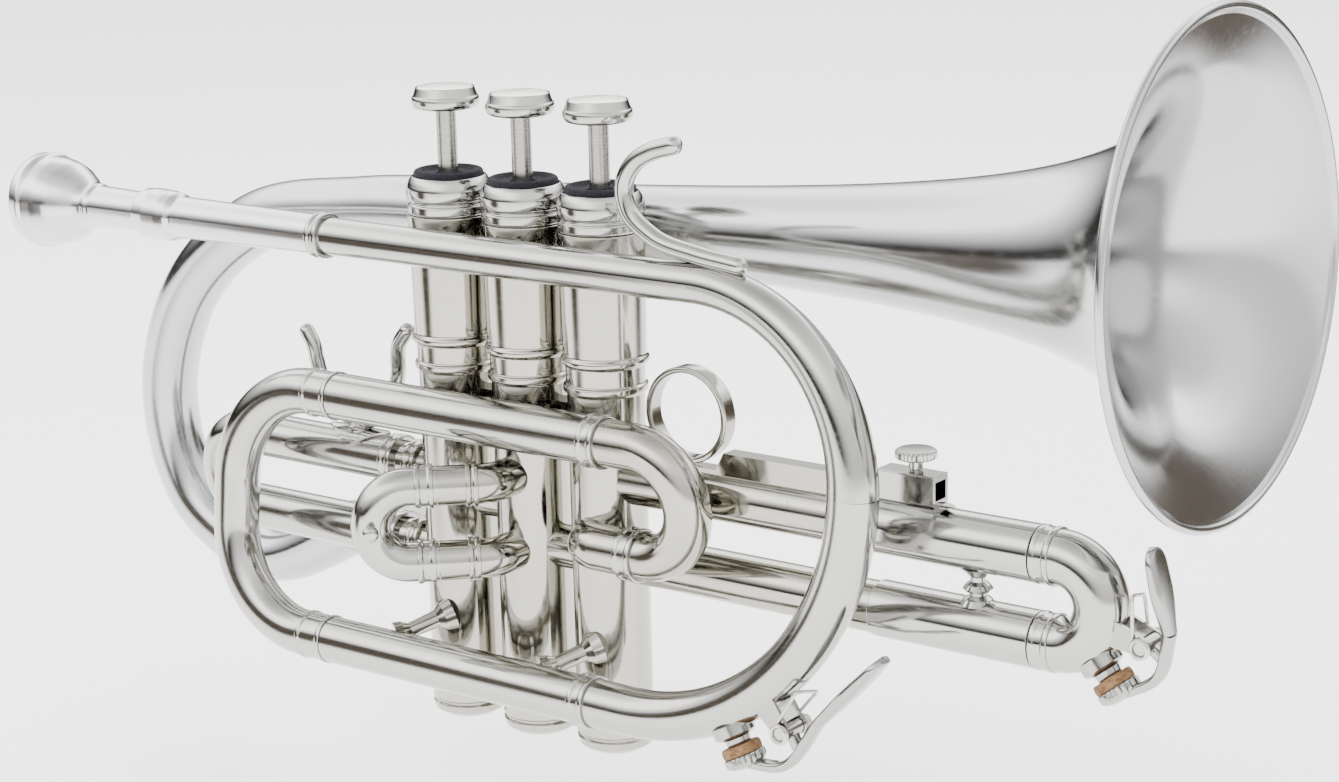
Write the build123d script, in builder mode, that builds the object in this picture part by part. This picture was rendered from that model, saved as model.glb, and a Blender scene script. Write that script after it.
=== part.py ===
from build123d import *
from math import atan2, cos, radians, sin, tan
import os

# B-flat cornet with a shepherd's crook, three piston valves and four slides.
# Millimetres. +X points along the bell, +Y to the player's left, +Z up along the valves.
# The origin is on the middle valve's axis, at the height where the hand holds the casings.

os.makedirs("parts", exist_ok=True)

# ---------------------------------------------------------------- driving dimensions
FIT = 0.05  # radial running clearance of slides and pistons
WALL = 0.9  # wall of the drawn tubes

# valves
VALVE_PITCH = 24.8
VALVE_X = (-VALVE_PITCH, 0.0, VALVE_PITCH)
STROKE = 15.5
BORE_R = 8.6  # inside of the casings
CASING_R = 9.9  # lower casing
BARREL_R = 11.0  # wider upper casing
CASING_BOTTOM = -78.0
BARREL_BOTTOM = 22.0
BARREL_TOP = 54.0
NECK_R = 10.1  # threaded neck under the top cap
NECK_TOP = 60.5
CAP_R = 10.9
CAP_TOP = 62.6
CAP_HOLE_R = 5.0
FOOT_R = 9.4  # threaded foot inside the bottom cap
FOOT_TOP = -73.5
BOTTOM_CAP_R = 10.1
BOTTOM_CAP_END = -82.6
PISTON_TOP = 27.0
PISTON_BOTTOM = -49.0
STEM_R = 2.6
BUTTON_BOTTOM = 81.2
BUTTON_TOP = 85.6
BUTTON_R = 8.6
PORT_R = 4.7

# mouthpipe side
LEAD_Y = -16.3
LEAD_Z = 47.7
LEAD_R = 4.95
RECEIVER_X = (-120.6, -56.4)
RECEIVER_R = 5.65
BOW_R = 6.15  # outside radius of the main bows
FRONT_BOW_X = 66.3  # where the mouthpipe starts to bend
FRONT_TOP_BEND = 45.0
FRONT_BACK_X = 111.3
FRONT_KEY_DROP = 104.0  # from the mouthpipe's axis down to the front water key

# main tuning slide
UPPER_LEG = (-16.45, 4.8)  # y, z of the upper tuning leg
LOWER_LEG = (-23.5, -60.8)  # y, z of the lower tuning leg
LEG_R = 6.2
INNER_LEG_R = 5.3
TUNING_SEAM_X = -51.8  # open end of the outer legs
TUNING_BOW_X = -60.4  # joint of inner legs and bow
TUNING_BOW_BACK = -88.9
TUNING_BEND = 27.0
LEG_FRONT_X = 32.5

# inlet bend into valve 3
INLET_BEND_X = 45.7
INLET_LEG = (-12.6, -24.1)
INLET_ELBOW = 6.9

# first slide, straight back from valve 1
FIRST_Z = (-15.5, -36.8)
FIRST_OUTER_R = 6.2
FIRST_INNER_R = 5.3
FIRST_SEAM_X = -44.9
FIRST_BOW_X = -102.8
SADDLE_X = -60.4

# second slide, out to the right and back from valve 2
SECOND_Z = (-11.1, -31.0)
SECOND_R = 5.1
SECOND_ANGLE = 42.0  # between the slide and -X
SECOND_ELBOW = 8.0
SECOND_STANDOFF = 3.1
SECOND_SLEEVE = 10.5
SECOND_LENGTH = 17.75

# third slide, straight forward from valve 3
THIRD_Z = (-9.2, -29.9)
THIRD_R = 6.9
THIRD_KNUCKLE_R = 6.4
THIRD_INNER_R = 5.7
THIRD_SEAM_X = 106.5
THIRD_END_X = 152.3
THIRD_BOW_X = 155.2
THIRD_BOW_R = 6.6

# bell and crook
BELL_Y = 22.8
BELL_RIM = (183.2, 56.3)  # x, z of the rim's centre
BELL_RISE = 1.95  # degrees that the bell points up
BELL_R = 59.5
BELL_LENGTH = 200.0
FLARE_POWER = 0.6
FLARE_LEAD = 9.76
BELL_WALL = 0.9
RIM_BEAD_R = 1.1
# x, z of the spots that the crook's centre line passes through, from the bell round to the tail
CROOK_SPOTS = ((-76.5, 46.4), (-119.5, 38.0), (-149.5, 11.6), (-158.8, -18.5), (-149.5, -47.5),
               (-124.0, -60.5))
CROOK_END = (-86.0, -47.0)
CROOK_TAIL_R = 7.5
TAIL_R = 6.1
TAIL_TURN = (-40.5, 21.0, -26.0)


# ---------------------------------------------------------------- shared shapes
def save(built, name):
    """Label a finished piece and write its STEP file."""
    built.part.label = name
    export_step(built.part, f"parts/{name}.step")


def rod(start, end, radius, inner=0.0, mode=Mode.ADD):
    """Round bar or tube from start to end."""
    run = Vector(*end) - Vector(*start)
    with BuildSketch(Plane(origin=start, z_dir=run)) as section:
        Circle(radius)
        if inner:
            Circle(inner, mode=Mode.SUBTRACT)
    extrude(section.sketch, amount=run.length, mode=mode)


def turned(start, direction, outline, mode=Mode.ADD):
    """Solid of revolution about a line, from (distance along it, radius) points."""
    along = Vector(*direction).normalized()
    side = Vector(0, 0, 1) if abs(along.Z) < 0.7 else Vector(1, 0, 0)
    plane = Plane(origin=start, x_dir=along, z_dir=along.cross(side).normalized())
    with BuildSketch(plane) as section:
        with BuildLine():
            Polyline(*outline, close=True)
        make_face()
    revolve(section.sketch, axis=Axis(start, along), mode=mode)


def pipe(path, radius, inner=0.0, mode=Mode.ADD):
    """Round bar or tube swept along a tangent path."""
    with BuildSketch(Plane(origin=path @ 0, z_dir=path % 0)) as section:
        Circle(radius)
        if inner:
            Circle(inner, mode=Mode.SUBTRACT)
    sweep(section.sketch, path=path, mode=mode)


def tapered_pipe(path, radii, mode=Mode.ADD):
    """Round bar that changes radius evenly along a tangent path."""
    with BuildSketch(Plane(origin=path @ 0, z_dir=path % 0)) as first:
        Circle(radii[0])
    with BuildSketch(Plane(origin=path @ 1, z_dir=path % 1)) as last:
        Circle(radii[1])
    sweep([first.sketch, last.sketch], path=path, multisection=True, mode=mode)


def ring(centre, direction, length, radius, inner):
    """Ferrule: a short sleeve with a bead at each end."""
    bead = 0.35
    profile = [(0, inner), (0, radius + bead), (1.1, radius + bead), (1.5, radius)]
    profile += [(length - 1.5, radius), (length - 1.1, radius + bead)]
    profile += [(length, radius + bead), (length, inner)]
    start = Vector(*centre) - Vector(*direction).normalized() * (length / 2)
    turned(tuple(start), direction, profile)


def cut_round(centre, direction, radius, reach):
    """Remove a round bar centred on a point from the piece in hand."""
    half = Vector(*direction).normalized() * (reach / 2)
    middle = Vector(*centre)
    rod(tuple(middle - half), tuple(middle + half), radius, mode=Mode.SUBTRACT)


def cut_casing(valve_x, radius=CASING_R):
    """Remove the room that a valve casing takes."""
    cut_round((valve_x, 0, 0), (0, 0, 1), radius, 300)


def bell_point(along):
    """Point on the bell's axis, at a distance behind the rim."""
    rise = radians(BELL_RISE)
    return (BELL_RIM[0] - along * cos(rise), BELL_Y, BELL_RIM[1] - along * sin(rise))


def flare(along):
    """Outside radius of the bell, at a distance behind the rim."""
    return BELL_R * (FLARE_LEAD / (FLARE_LEAD + along)) ** FLARE_POWER


BELL_DIR = (cos(radians(BELL_RISE)), 0, sin(radians(BELL_RISE)))
SECOND_DIR = (-cos(radians(SECOND_ANGLE)), -sin(radians(SECOND_ANGLE)), 0)

# ---------------------------------------------------------------- valve casings
# ports of each valve: (height, compass angle in degrees, radius)
CASING_PORTS = (
    ((FIRST_Z[0], 180), (FIRST_Z[1], 180), (-20.5, 0), (-26.0, 127)),
    ((SECOND_Z[0], -90), (SECOND_Z[1], -90), (-20.5, 180), (-30.5, 0)),
    ((THIRD_Z[0], 0), (THIRD_Z[1], 0), (INLET_LEG[1], -90), (-30.5, 180)),
)


def cut_ports(valve_x, ports, depth):
    """Bore the air ports of one valve, from its axis outwards."""
    for height, angle in ports:
        out = (depth * cos(radians(angle)), depth * sin(radians(angle)))
        rod((valve_x, 0, height), (valve_x + out[0], out[1], height), PORT_R, mode=Mode.SUBTRACT)


for number, valve_x in enumerate(VALVE_X, start=1):
    with BuildPart() as valve_casing:
        outline = [
            (CASING_BOTTOM, BORE_R),
            (CASING_BOTTOM, FOOT_R),
            (FOOT_TOP, FOOT_R),
            (FOOT_TOP, CASING_R),
            (13.1, CASING_R),
            (13.5, CASING_R + 0.9),
            (15.1, CASING_R + 0.9),
            (15.5, CASING_R + 0.2),
            (20.2, CASING_R + 0.2),
            (20.8, BARREL_R + 0.3),
            (BARREL_BOTTOM, BARREL_R + 0.3),
            (BARREL_BOTTOM + 0.8, BARREL_R - 0.4),
            (BARREL_TOP, BARREL_R),
            (BARREL_TOP, NECK_R),
            (NECK_TOP, NECK_R),
            (NECK_TOP, BORE_R),
        ]
        turned((valve_x, 0, 0), (0, 0, 1), outline)
        cut_ports(valve_x, CASING_PORTS[number - 1], CASING_R + 2)
    save(valve_casing, f"valve_casing_{number}")

with BuildPart() as casing_connectors:
    for middle, height in ((-VALVE_PITCH / 2, -20.5), (VALVE_PITCH / 2, -30.5)):
        reach = VALVE_PITCH / 2
        rod((middle - reach, 0, height), (middle + reach, 0, height), PORT_R + 0.9, PORT_R)
    for middle in (-VALVE_PITCH / 2, VALVE_PITCH / 2):
        with BuildSketch(Plane.XY.offset(2.0)) as strap:
            with Locations((middle, 0)):
                Rectangle(VALVE_PITCH, 6.0)
        extrude(strap.sketch, amount=7.0)
    for valve_x in VALVE_X:
        cut_casing(valve_x)
save(casing_connectors, "casing_connectors")

with BuildPart() as top_valve_caps:
    for valve_x in VALVE_X:
        outline = [
            (BARREL_TOP, NECK_R),
            (BARREL_TOP, CAP_R - 0.5),
            (BARREL_TOP + 0.5, CAP_R),
            (BARREL_TOP + 3.0, CAP_R),
            (BARREL_TOP + 3.4, CAP_R - 0.6),
            (BARREL_TOP + 4.0, CAP_R - 0.6),
            (BARREL_TOP + 4.4, CAP_R + 0.1),
            (CAP_TOP - 2.2, CAP_R + 0.1),
            (CAP_TOP - 0.9, CAP_R - 0.5),
            (CAP_TOP, CAP_R - 1.4),
            (CAP_TOP, CAP_HOLE_R),
            (NECK_TOP, CAP_HOLE_R),
            (NECK_TOP, NECK_R),
        ]
        turned((valve_x, 0, 0), (0, 0, 1), outline)
save(top_valve_caps, "top_valve_caps")

with BuildPart() as cap_felts:
    for valve_x in VALVE_X:
        outline = [
            (CAP_TOP, 3.3),
            (CAP_TOP, 9.2),
            (CAP_TOP + 0.6, 9.6),
            (CAP_TOP + 2.2, 9.6),
            (CAP_TOP + 2.8, 9.0),
            (CAP_TOP + 2.8, 7.9),
            (CAP_TOP + 1.7, 6.2),
            (CAP_TOP + 1.7, 3.3),
        ]
        turned((valve_x, 0, 0), (0, 0, 1), outline)
save(cap_felts, "cap_felts")

with BuildPart() as bottom_valve_caps:
    for valve_x in VALVE_X:
        outline = [
            (FOOT_TOP, FOOT_R),
            (FOOT_TOP, BOTTOM_CAP_R - 0.4),
            (FOOT_TOP - 0.5, BOTTOM_CAP_R),
            (FOOT_TOP - 3.4, BOTTOM_CAP_R),
            (FOOT_TOP - 3.8, BOTTOM_CAP_R - 0.5),
            (FOOT_TOP - 4.4, BOTTOM_CAP_R - 0.5),
            (FOOT_TOP - 4.8, BOTTOM_CAP_R),
            (BOTTOM_CAP_END + 2.4, BOTTOM_CAP_R - 0.4),
            (BOTTOM_CAP_END + 0.9, BOTTOM_CAP_R - 2.6),
            (BOTTOM_CAP_END + 0.2, 3.4),
            (BOTTOM_CAP_END, 3.0),
            (BOTTOM_CAP_END, 1.5),
            (CASING_BOTTOM, 1.5),
            (CASING_BOTTOM, FOOT_R),
        ]
        turned((valve_x, 0, 0), (0, 0, 1), outline)
save(bottom_valve_caps, "bottom_valve_caps")

# ---------------------------------------------------------------- pistons, stems, buttons, springs
SPRING_R = 6.2
SPRING_WIRE = 0.55
SPRING_TURNS = 7
SPRING_SEAT = -43.5  # inside the piston's open bottom
PISTON_HOLLOW_R = 7.6

for number, valve_x in enumerate(VALVE_X, start=1):
    with BuildPart() as piston:
        outline = [
            (PISTON_BOTTOM, 0),
            (PISTON_BOTTOM, BORE_R - FIT - 0.4),
            (PISTON_BOTTOM + 0.4, BORE_R - FIT),
            (PISTON_TOP - 0.4, BORE_R - FIT),
            (PISTON_TOP, BORE_R - FIT - 0.4),
            (PISTON_TOP, 5.0),
            (PISTON_TOP + 5.0, 4.2),
            (PISTON_TOP + 5.0, 0),
        ]
        turned((valve_x, 0, 0), (0, 0, 1), outline)
        cut_ports(valve_x, CASING_PORTS[number - 1], BORE_R + 2)
        rod((valve_x, 0, PISTON_BOTTOM), (valve_x, 0, SPRING_SEAT), PISTON_HOLLOW_R,
            mode=Mode.SUBTRACT)
        rod((valve_x, 0, 0.5), (valve_x, 0, PISTON_TOP - 2.5), PISTON_HOLLOW_R,
            mode=Mode.SUBTRACT)
        with BuildSketch(Plane.XY.offset(PISTON_TOP - 3.0)) as vents:
            with Locations((valve_x, 0)):
                with PolarLocations(6.3, 4):
                    Circle(1.1)
        extrude(vents.sketch, amount=4.0, mode=Mode.SUBTRACT)
    save(piston, f"piston_{number}")

    with BuildPart() as stem:
        outline = [
            (PISTON_TOP + 5.0, 0),
            (PISTON_TOP + 5.0, STEM_R + 0.9),
            (PISTON_TOP + 7.0, STEM_R + 0.9),
            (PISTON_TOP + 7.4, STEM_R),
            (BUTTON_BOTTOM, STEM_R),
            (BUTTON_BOTTOM, 0),
        ]
        turned((valve_x, 0, 0), (0, 0, 1), outline)
    save(stem, f"valve_stem_{number}")

    with BuildPart() as finger_button:
        outline = [
            (BUTTON_BOTTOM, 0),
            (BUTTON_BOTTOM, BUTTON_R - 0.9),
            (BUTTON_BOTTOM + 0.4, BUTTON_R - 0.2),
            (BUTTON_BOTTOM + 1.0, BUTTON_R),
            (BUTTON_BOTTOM + 1.6, BUTTON_R - 0.1),
            (BUTTON_BOTTOM + 2.3, BUTTON_R - 0.7),
            (BUTTON_TOP - 0.3, BUTTON_R - 1.0),
            (BUTTON_TOP, BUTTON_R - 1.4),
            (BUTTON_TOP, 6.7),
            (BUTTON_TOP - 1.2, 6.7),
            (BUTTON_TOP - 1.2, 0),
        ]
        turned((valve_x, 0, 0), (0, 0, 1), outline)
    save(finger_button, f"finger_button_{number}")

    with BuildPart() as pearl:
        outline = [
            (BUTTON_TOP - 1.2, 0),
            (BUTTON_TOP - 1.2, 6.7),
            (BUTTON_TOP, 6.7),
            (BUTTON_TOP + 0.35, 5.2),
            (BUTTON_TOP + 0.5, 2.6),
            (BUTTON_TOP + 0.5, 0),
        ]
        turned((valve_x, 0, 0), (0, 0, 1), outline)
    save(pearl, f"pearl_inlay_{number}")

    with BuildPart() as valve_spring:
        low = CASING_BOTTOM + SPRING_WIRE
        high = SPRING_SEAT - SPRING_WIRE
        with BuildLine() as coil:
            Helix(pitch=(high - low) / SPRING_TURNS, height=high - low, radius=SPRING_R,
                  center=(valve_x, 0, low))
        pipe(coil.line, SPRING_WIRE)
    save(valve_spring, f"valve_spring_{number}")

# ---------------------------------------------------------------- bell, crook and tail
with BuildPart() as bell:
    steps = 14
    spots = [BELL_LENGTH * (1 - step / steps) ** 1.8 for step in range(steps + 1)]
    outside = [(spot, flare(spot)) for spot in spots]
    inside = [(spot, flare(spot) - BELL_WALL) for spot in reversed(spots)]
    bell_plane = Plane(origin=bell_point(0), x_dir=tuple(-Vector(*BELL_DIR)), z_dir=(0, 1, 0))
    with BuildSketch(bell_plane) as bell_section:
        with BuildLine():
            skin = Spline(*outside)
            lining = Spline(*inside)
            Line(skin @ 1, lining @ 0)
            Line(lining @ 1, skin @ 0)
        make_face()
    revolve(bell_section.sketch, axis=Axis(bell_point(0), BELL_DIR))
    with BuildSketch(bell_plane) as rim_bead:
        with Locations((0.3, BELL_R - RIM_BEAD_R)):
            Circle(RIM_BEAD_R)
    revolve(rim_bead.sketch, axis=Axis(bell_point(0), BELL_DIR))
save(bell, "bell")

crook_top = bell_point(BELL_LENGTH)
crook_end = (CROOK_END[0], BELL_Y, CROOK_END[1])
tail_run = Vector(*TAIL_TURN) - Vector(*crook_end)

with BuildPart() as bell_crook:
    with BuildLine() as route:
        spots = [(x, BELL_Y, z) for x, z in CROOK_SPOTS]
        backwards = tuple(-Vector(*BELL_DIR))
        Spline(crook_top, *spots, crook_end, tangents=(backwards, tuple(tail_run.normalized())))
    tapered_pipe(route.line, (flare(BELL_LENGTH), CROOK_TAIL_R))
    tapered_pipe(route.line, (flare(BELL_LENGTH) - WALL, CROOK_TAIL_R - WALL),
                 mode=Mode.SUBTRACT)
save(bell_crook, "bell_crook")

with BuildPart() as tail_pipe:
    with BuildLine() as route:
        FilletPolyline(crook_end, TAIL_TURN, (VALVE_X[0], 0, TAIL_TURN[2]), radius=14.0)
    pipe(route.line, TAIL_R, TAIL_R - WALL)
    cut_casing(VALVE_X[0])
save(tail_pipe, "tail_pipe")

# ---------------------------------------------------------------- mouthpipe and front bow
with BuildPart() as mouthpiece_receiver:
    outline = [
        (0, 5.5),
        (0, 6.3),
        (0.6, 6.8),
        (4.5, 7.1),
        (9.5, 6.9),
        (12.5, 6.5),
        (13.4, 5.9),
        (14.1, RECEIVER_R),
        (RECEIVER_X[1] - RECEIVER_X[0], RECEIVER_R - 0.3),
        (RECEIVER_X[1] - RECEIVER_X[0], LEAD_R),
        (23.0, LEAD_R),
        (23.0, 4.9),
    ]
    turned((RECEIVER_X[0], LEAD_Y, LEAD_Z), (1, 0, 0), outline)
save(mouthpiece_receiver, "mouthpiece_receiver")

front_top = (FRONT_BOW_X, LEAD_Y, LEAD_Z)
bow_tilt = atan2(LEAD_Y - LOWER_LEG[0], LEAD_Z - LOWER_LEG[1])
front_drop = (LEAD_Z - LOWER_LEG[1]) / cos(bow_tilt)
FRONT_LOW_BEND = front_drop - FRONT_TOP_BEND
down = Vector(0, -sin(bow_tilt), -cos(bow_tilt))


def tilted(origin, along, below):
    """Point in a bow's leaning plane: a distance along X and a distance down the plane."""
    return tuple(Vector(*origin) + Vector(along, 0, 0) + down * below)


front_back = tilted(front_top, FRONT_TOP_BEND, FRONT_TOP_BEND)
front_low = tilted(front_top, FRONT_TOP_BEND - FRONT_LOW_BEND, front_drop)

# ---------------------------------------------------------------- water key sizes
EAR_GAP = 2.9  # half the room between the two ears
EAR_THICK = 0.9
PIN_R = 0.95
NIPPLE = 3.4  # height of the nipple above the bend
CORK = 2.4  # thickness of the cork
CUP_R = 5.3
DRAIN_R = 1.6


def polar(centre, angle, distance, y):
    """Point at an angle and distance from a bend's centre, in the XZ plane."""
    turn = radians(angle)
    return (centre[0] + distance * cos(turn), y, centre[1] + distance * sin(turn))


class WaterKey:
    """Sizes and places of one water key on the outside of a bend."""

    def __init__(self, centre, bend_r, tube_r, y, cork_angle, pivot_angle, pivot_reach):
        self.centre, self.bend_r, self.tube_r, self.y = centre, bend_r, tube_r, y
        self.skin = bend_r + tube_r
        self.cork_angle = cork_angle
        self.out = polar((0, 0), cork_angle, 1, 0)
        self.cork = self.at(cork_angle, self.skin + NIPPLE)
        self.pivot = self.at(pivot_angle, self.skin + pivot_reach)

    def at(self, angle, distance):
        """Point at an angle and distance from this key's bend."""
        return polar(self.centre, angle, distance, self.y)

    def drain(self):
        """Bore the drain hole through the outside wall of the bend in hand."""
        rod(self.at(self.cork_angle, self.bend_r), self.cork, DRAIN_R, mode=Mode.SUBTRACT)


front_key = WaterKey((front_low[0], front_back[2]), FRONT_LOW_BEND, BOW_R,
                     LEAD_Y - FRONT_KEY_DROP * tan(bow_tilt), -63.0, -50.5, 5.7)
third_key = WaterKey((THIRD_BOW_X, (THIRD_Z[0] + THIRD_Z[1]) / 2), (THIRD_Z[0] - THIRD_Z[1]) / 2,
                     THIRD_BOW_R, 0.0, -51.0, -15.4, 6.2)

# ---------------------------------------------------------------- mouthpipe and front bow tubes
with BuildPart() as leadpipe:
    rod((RECEIVER_X[0] + 23.0, LEAD_Y, LEAD_Z), front_top, LEAD_R, LEAD_R - WALL)
save(leadpipe, "leadpipe")

with BuildPart() as front_bow:
    with BuildLine() as upper_route:
        TangentArc(front_top, front_back, tangent=(1, 0, 0))
    with BuildLine() as lower_route:
        TangentArc(front_back, front_low, tangent=tuple(down))
        Line(front_low, (LEG_FRONT_X, *LOWER_LEG))
    tapered_pipe(upper_route.line, (LEAD_R, BOW_R))
    tapered_pipe(upper_route.line, (LEAD_R - WALL, BOW_R - WALL), mode=Mode.SUBTRACT)
    pipe(lower_route.line, BOW_R, BOW_R - WALL)
    front_key.drain()
save(front_bow, "front_bow")

# ---------------------------------------------------------------- main tuning slide
with BuildPart() as outer_tuning_legs:
    for leg in (UPPER_LEG, LOWER_LEG):
        rod((TUNING_SEAM_X, *leg), (LEG_FRONT_X, *leg), LEG_R, INNER_LEG_R + FIT)
save(outer_tuning_legs, "outer_tuning_legs")

with BuildPart() as tuning_slide_legs:
    for leg in (UPPER_LEG, LOWER_LEG):
        rod((TUNING_BOW_X, *leg), (LEG_FRONT_X - 22, *leg), INNER_LEG_R, INNER_LEG_R - 0.6)
save(tuning_slide_legs, "tuning_slide_legs")

with BuildPart() as tuning_slide_bow:
    top = (TUNING_BOW_X, *UPPER_LEG)
    bottom = (TUNING_BOW_X, *LOWER_LEG)
    with BuildLine() as route:
        FilletPolyline(top, (TUNING_BOW_BACK, *UPPER_LEG), (TUNING_BOW_BACK, *LOWER_LEG), bottom,
                       radius=TUNING_BEND)
    pipe(route.line, BOW_R, BOW_R - WALL)
    for leg in (UPPER_LEG, LOWER_LEG):
        middle = ((TUNING_BOW_X + TUNING_SEAM_X) / 2 - 0.2, *leg)
        ring(middle, (1, 0, 0), TUNING_SEAM_X - TUNING_BOW_X, LEG_R, INNER_LEG_R)
save(tuning_slide_bow, "tuning_slide_bow")

# ---------------------------------------------------------------- inlet bend into valve 3
with BuildPart() as inlet_bend:
    with BuildLine() as route:
        bend_start = (INLET_BEND_X, *UPPER_LEG)
        bend_end = (INLET_BEND_X, *INLET_LEG)
        Line((LEG_FRONT_X, *UPPER_LEG), bend_start)
        TangentArc(bend_start, bend_end, tangent=(1, 0, 0))
        FilletPolyline(bend_end, (VALVE_X[2], *INLET_LEG), (VALVE_X[2], 0, INLET_LEG[1]),
                       radius=INLET_ELBOW)
    pipe(route.line, BOW_R - 0.15, BOW_R - WALL)
    cut_casing(VALVE_X[2])
save(inlet_bend, "inlet_bend")

with BuildPart() as tube_ferrules:
    ring((RECEIVER_X[1] + 1.9, LEAD_Y, LEAD_Z), (1, 0, 0), 3.8, LEAD_R + 0.7, LEAD_R)
    ring((LEG_FRONT_X + 2.4, *LOWER_LEG), (1, 0, 0), 4.8, LEG_R + 0.35, BOW_R)
    ring((LEG_FRONT_X + 2.4, *UPPER_LEG), (1, 0, 0), 4.8, LEG_R + 0.3, BOW_R - 0.15)
    ring((INLET_BEND_X - 3.4, *INLET_LEG), (1, 0, 0), 5.0, LEG_R + 0.3, BOW_R - 0.15)
    ring(bell_point(BELL_LENGTH), BELL_DIR, 8.0, flare(BELL_LENGTH) + 0.7,
         flare(BELL_LENGTH - 4.0) + 0.01)
    sleeve = [(0.0, TAIL_R), (0.0, CROOK_TAIL_R), (0.6, CROOK_TAIL_R + 0.3),
              (2.0, CROOK_TAIL_R + 0.3), (2.6, CROOK_TAIL_R), (7.0, TAIL_R + 0.8),
              (8.6, TAIL_R + 0.8), (9.0, TAIL_R + 0.4), (9.0, TAIL_R)]
    turned(crook_end, tuple(tail_run), sleeve)
save(tube_ferrules, "tube_ferrules")

# ---------------------------------------------------------------- first slide and thumb saddle
with BuildPart() as first_fixed_legs:
    for height in FIRST_Z:
        rod((VALVE_X[0], 0, height), (FIRST_SEAM_X - 32, 0, height), FIRST_INNER_R,
            FIRST_INNER_R - 0.6)
        ring((FIRST_SEAM_X + 6.0, 0, height), (1, 0, 0), 4.0, FIRST_OUTER_R - 0.2, FIRST_INNER_R)
    cut_casing(VALVE_X[0])
save(first_fixed_legs, "first_fixed_legs")

with BuildPart() as first_slide_legs:
    for height in FIRST_Z:
        rod((FIRST_SEAM_X, 0, height), (FIRST_BOW_X + 2.0, 0, height), FIRST_OUTER_R,
            FIRST_INNER_R + FIT)
        ring((FIRST_SEAM_X - 2.0, 0, height), (1, 0, 0), 4.0, FIRST_OUTER_R + 0.3,
             FIRST_OUTER_R)
save(first_slide_legs, "first_slide_legs")

with BuildPart() as first_slide_bow:
    with BuildLine() as route:
        bend_top = (FIRST_BOW_X, 0, FIRST_Z[0])
        bend_low = (FIRST_BOW_X, 0, FIRST_Z[1])
        Line((FIRST_BOW_X + 2.0, 0, FIRST_Z[0]), bend_top)
        TangentArc(bend_top, bend_low, tangent=(-1, 0, 0))
        Line(bend_low, (FIRST_BOW_X + 2.0, 0, FIRST_Z[1]))
    pipe(route.line, FIRST_OUTER_R - 0.05, FIRST_OUTER_R - WALL)
save(first_slide_bow, "first_slide_bow")

SADDLE_HALF = 14.75
SADDLE_ROD_R = 2.1
SADDLE_PLATE = 0.9
with BuildPart() as first_slide_saddle:
    leg_middle = (SADDLE_X, 0, FIRST_Z[0])
    rod((SADDLE_X - 12, 0, FIRST_Z[0]), (SADDLE_X + 12, 0, FIRST_Z[0]),
        FIRST_OUTER_R + SADDLE_PLATE)
    with BuildSketch(Plane.XY.offset(FIRST_Z[0])) as diamond:
        with BuildLine():
            Polyline((SADDLE_X - 11, 0), (SADDLE_X, -6.2), (SADDLE_X + 11, 0), (SADDLE_X, 6.2),
                     close=True)
        make_face()
    extrude(diamond.sketch, amount=FIRST_OUTER_R + 2, mode=Mode.INTERSECT)
    turned(leg_middle, (0, 0, 1), [(FIRST_OUTER_R, 0), (FIRST_OUTER_R, 3.6),
                                   (FIRST_OUTER_R + 1.4, 3.3), (FIRST_OUTER_R + 3.0, 1.7),
                                   (FIRST_OUTER_R + 3.0, 0)])
    floor = FIRST_Z[0] + FIRST_OUTER_R + SADDLE_ROD_R + 0.5
    middle = floor + SADDLE_HALF
    diagonal = SADDLE_HALF * cos(radians(45))
    with BuildLine() as route:
        Spline((SADDLE_X - 18.0, 0, middle + 8.0), (SADDLE_X - 15.8, 0, middle + 4.4),
               (SADDLE_X - SADDLE_HALF, 0, middle),
               (SADDLE_X - diagonal, 0, middle - diagonal), (SADDLE_X, 0, floor),
               (SADDLE_X + diagonal, 0, middle - diagonal), (SADDLE_X + SADDLE_HALF, 0, middle),
               (SADDLE_X + 15.6, 0, middle + 8.4), (SADDLE_X + 18.6, 0, middle + 12.4))
    pipe(route.line, SADDLE_ROD_R)
    for end in (route.line @ 0, route.line @ 1):
        with Locations(end):
            Sphere(SADDLE_ROD_R)
    cut_round(leg_middle, (1, 0, 0), FIRST_OUTER_R, 60)
save(first_slide_saddle, "first_slide_saddle")

# ---------------------------------------------------------------- second slide
turn = radians(90 - SECOND_ANGLE)
elbow_start = (0.0, -CASING_R - SECOND_STANDOFF)
elbow_end = (-SECOND_ELBOW * (1 - cos(turn)), elbow_start[1] - SECOND_ELBOW * sin(turn))


def second_point(along, height):
    """Point on a second slide leg, at a distance past its elbow."""
    return (elbow_end[0] + SECOND_DIR[0] * along, elbow_end[1] + SECOND_DIR[1] * along, height)


with BuildPart() as second_fixed_legs:
    for height in SECOND_Z:
        with BuildLine() as route:
            port = (*elbow_start, height)
            Line((0, 0, height), port)
            TangentArc(port, second_point(0, height), tangent=(0, -1, 0))
        pipe(route.line, SECOND_R, SECOND_R - 1.0)
        rod(second_point(0, height), second_point(SECOND_SLEEVE, height), SECOND_R,
            SECOND_R - 0.9)
        ring(second_point(1.6, height), SECOND_DIR, 3.2, SECOND_R + 0.35, SECOND_R)
    cut_casing(0.0)
save(second_fixed_legs, "second_fixed_legs")

with BuildPart() as second_slide_legs:
    for height in SECOND_Z:
        rod(second_point(0.9, height), second_point(SECOND_SLEEVE + 0.2, height),
            SECOND_R - 0.9 - FIT, SECOND_R - 1.5)
save(second_slide_legs, "second_slide_legs")

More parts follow.
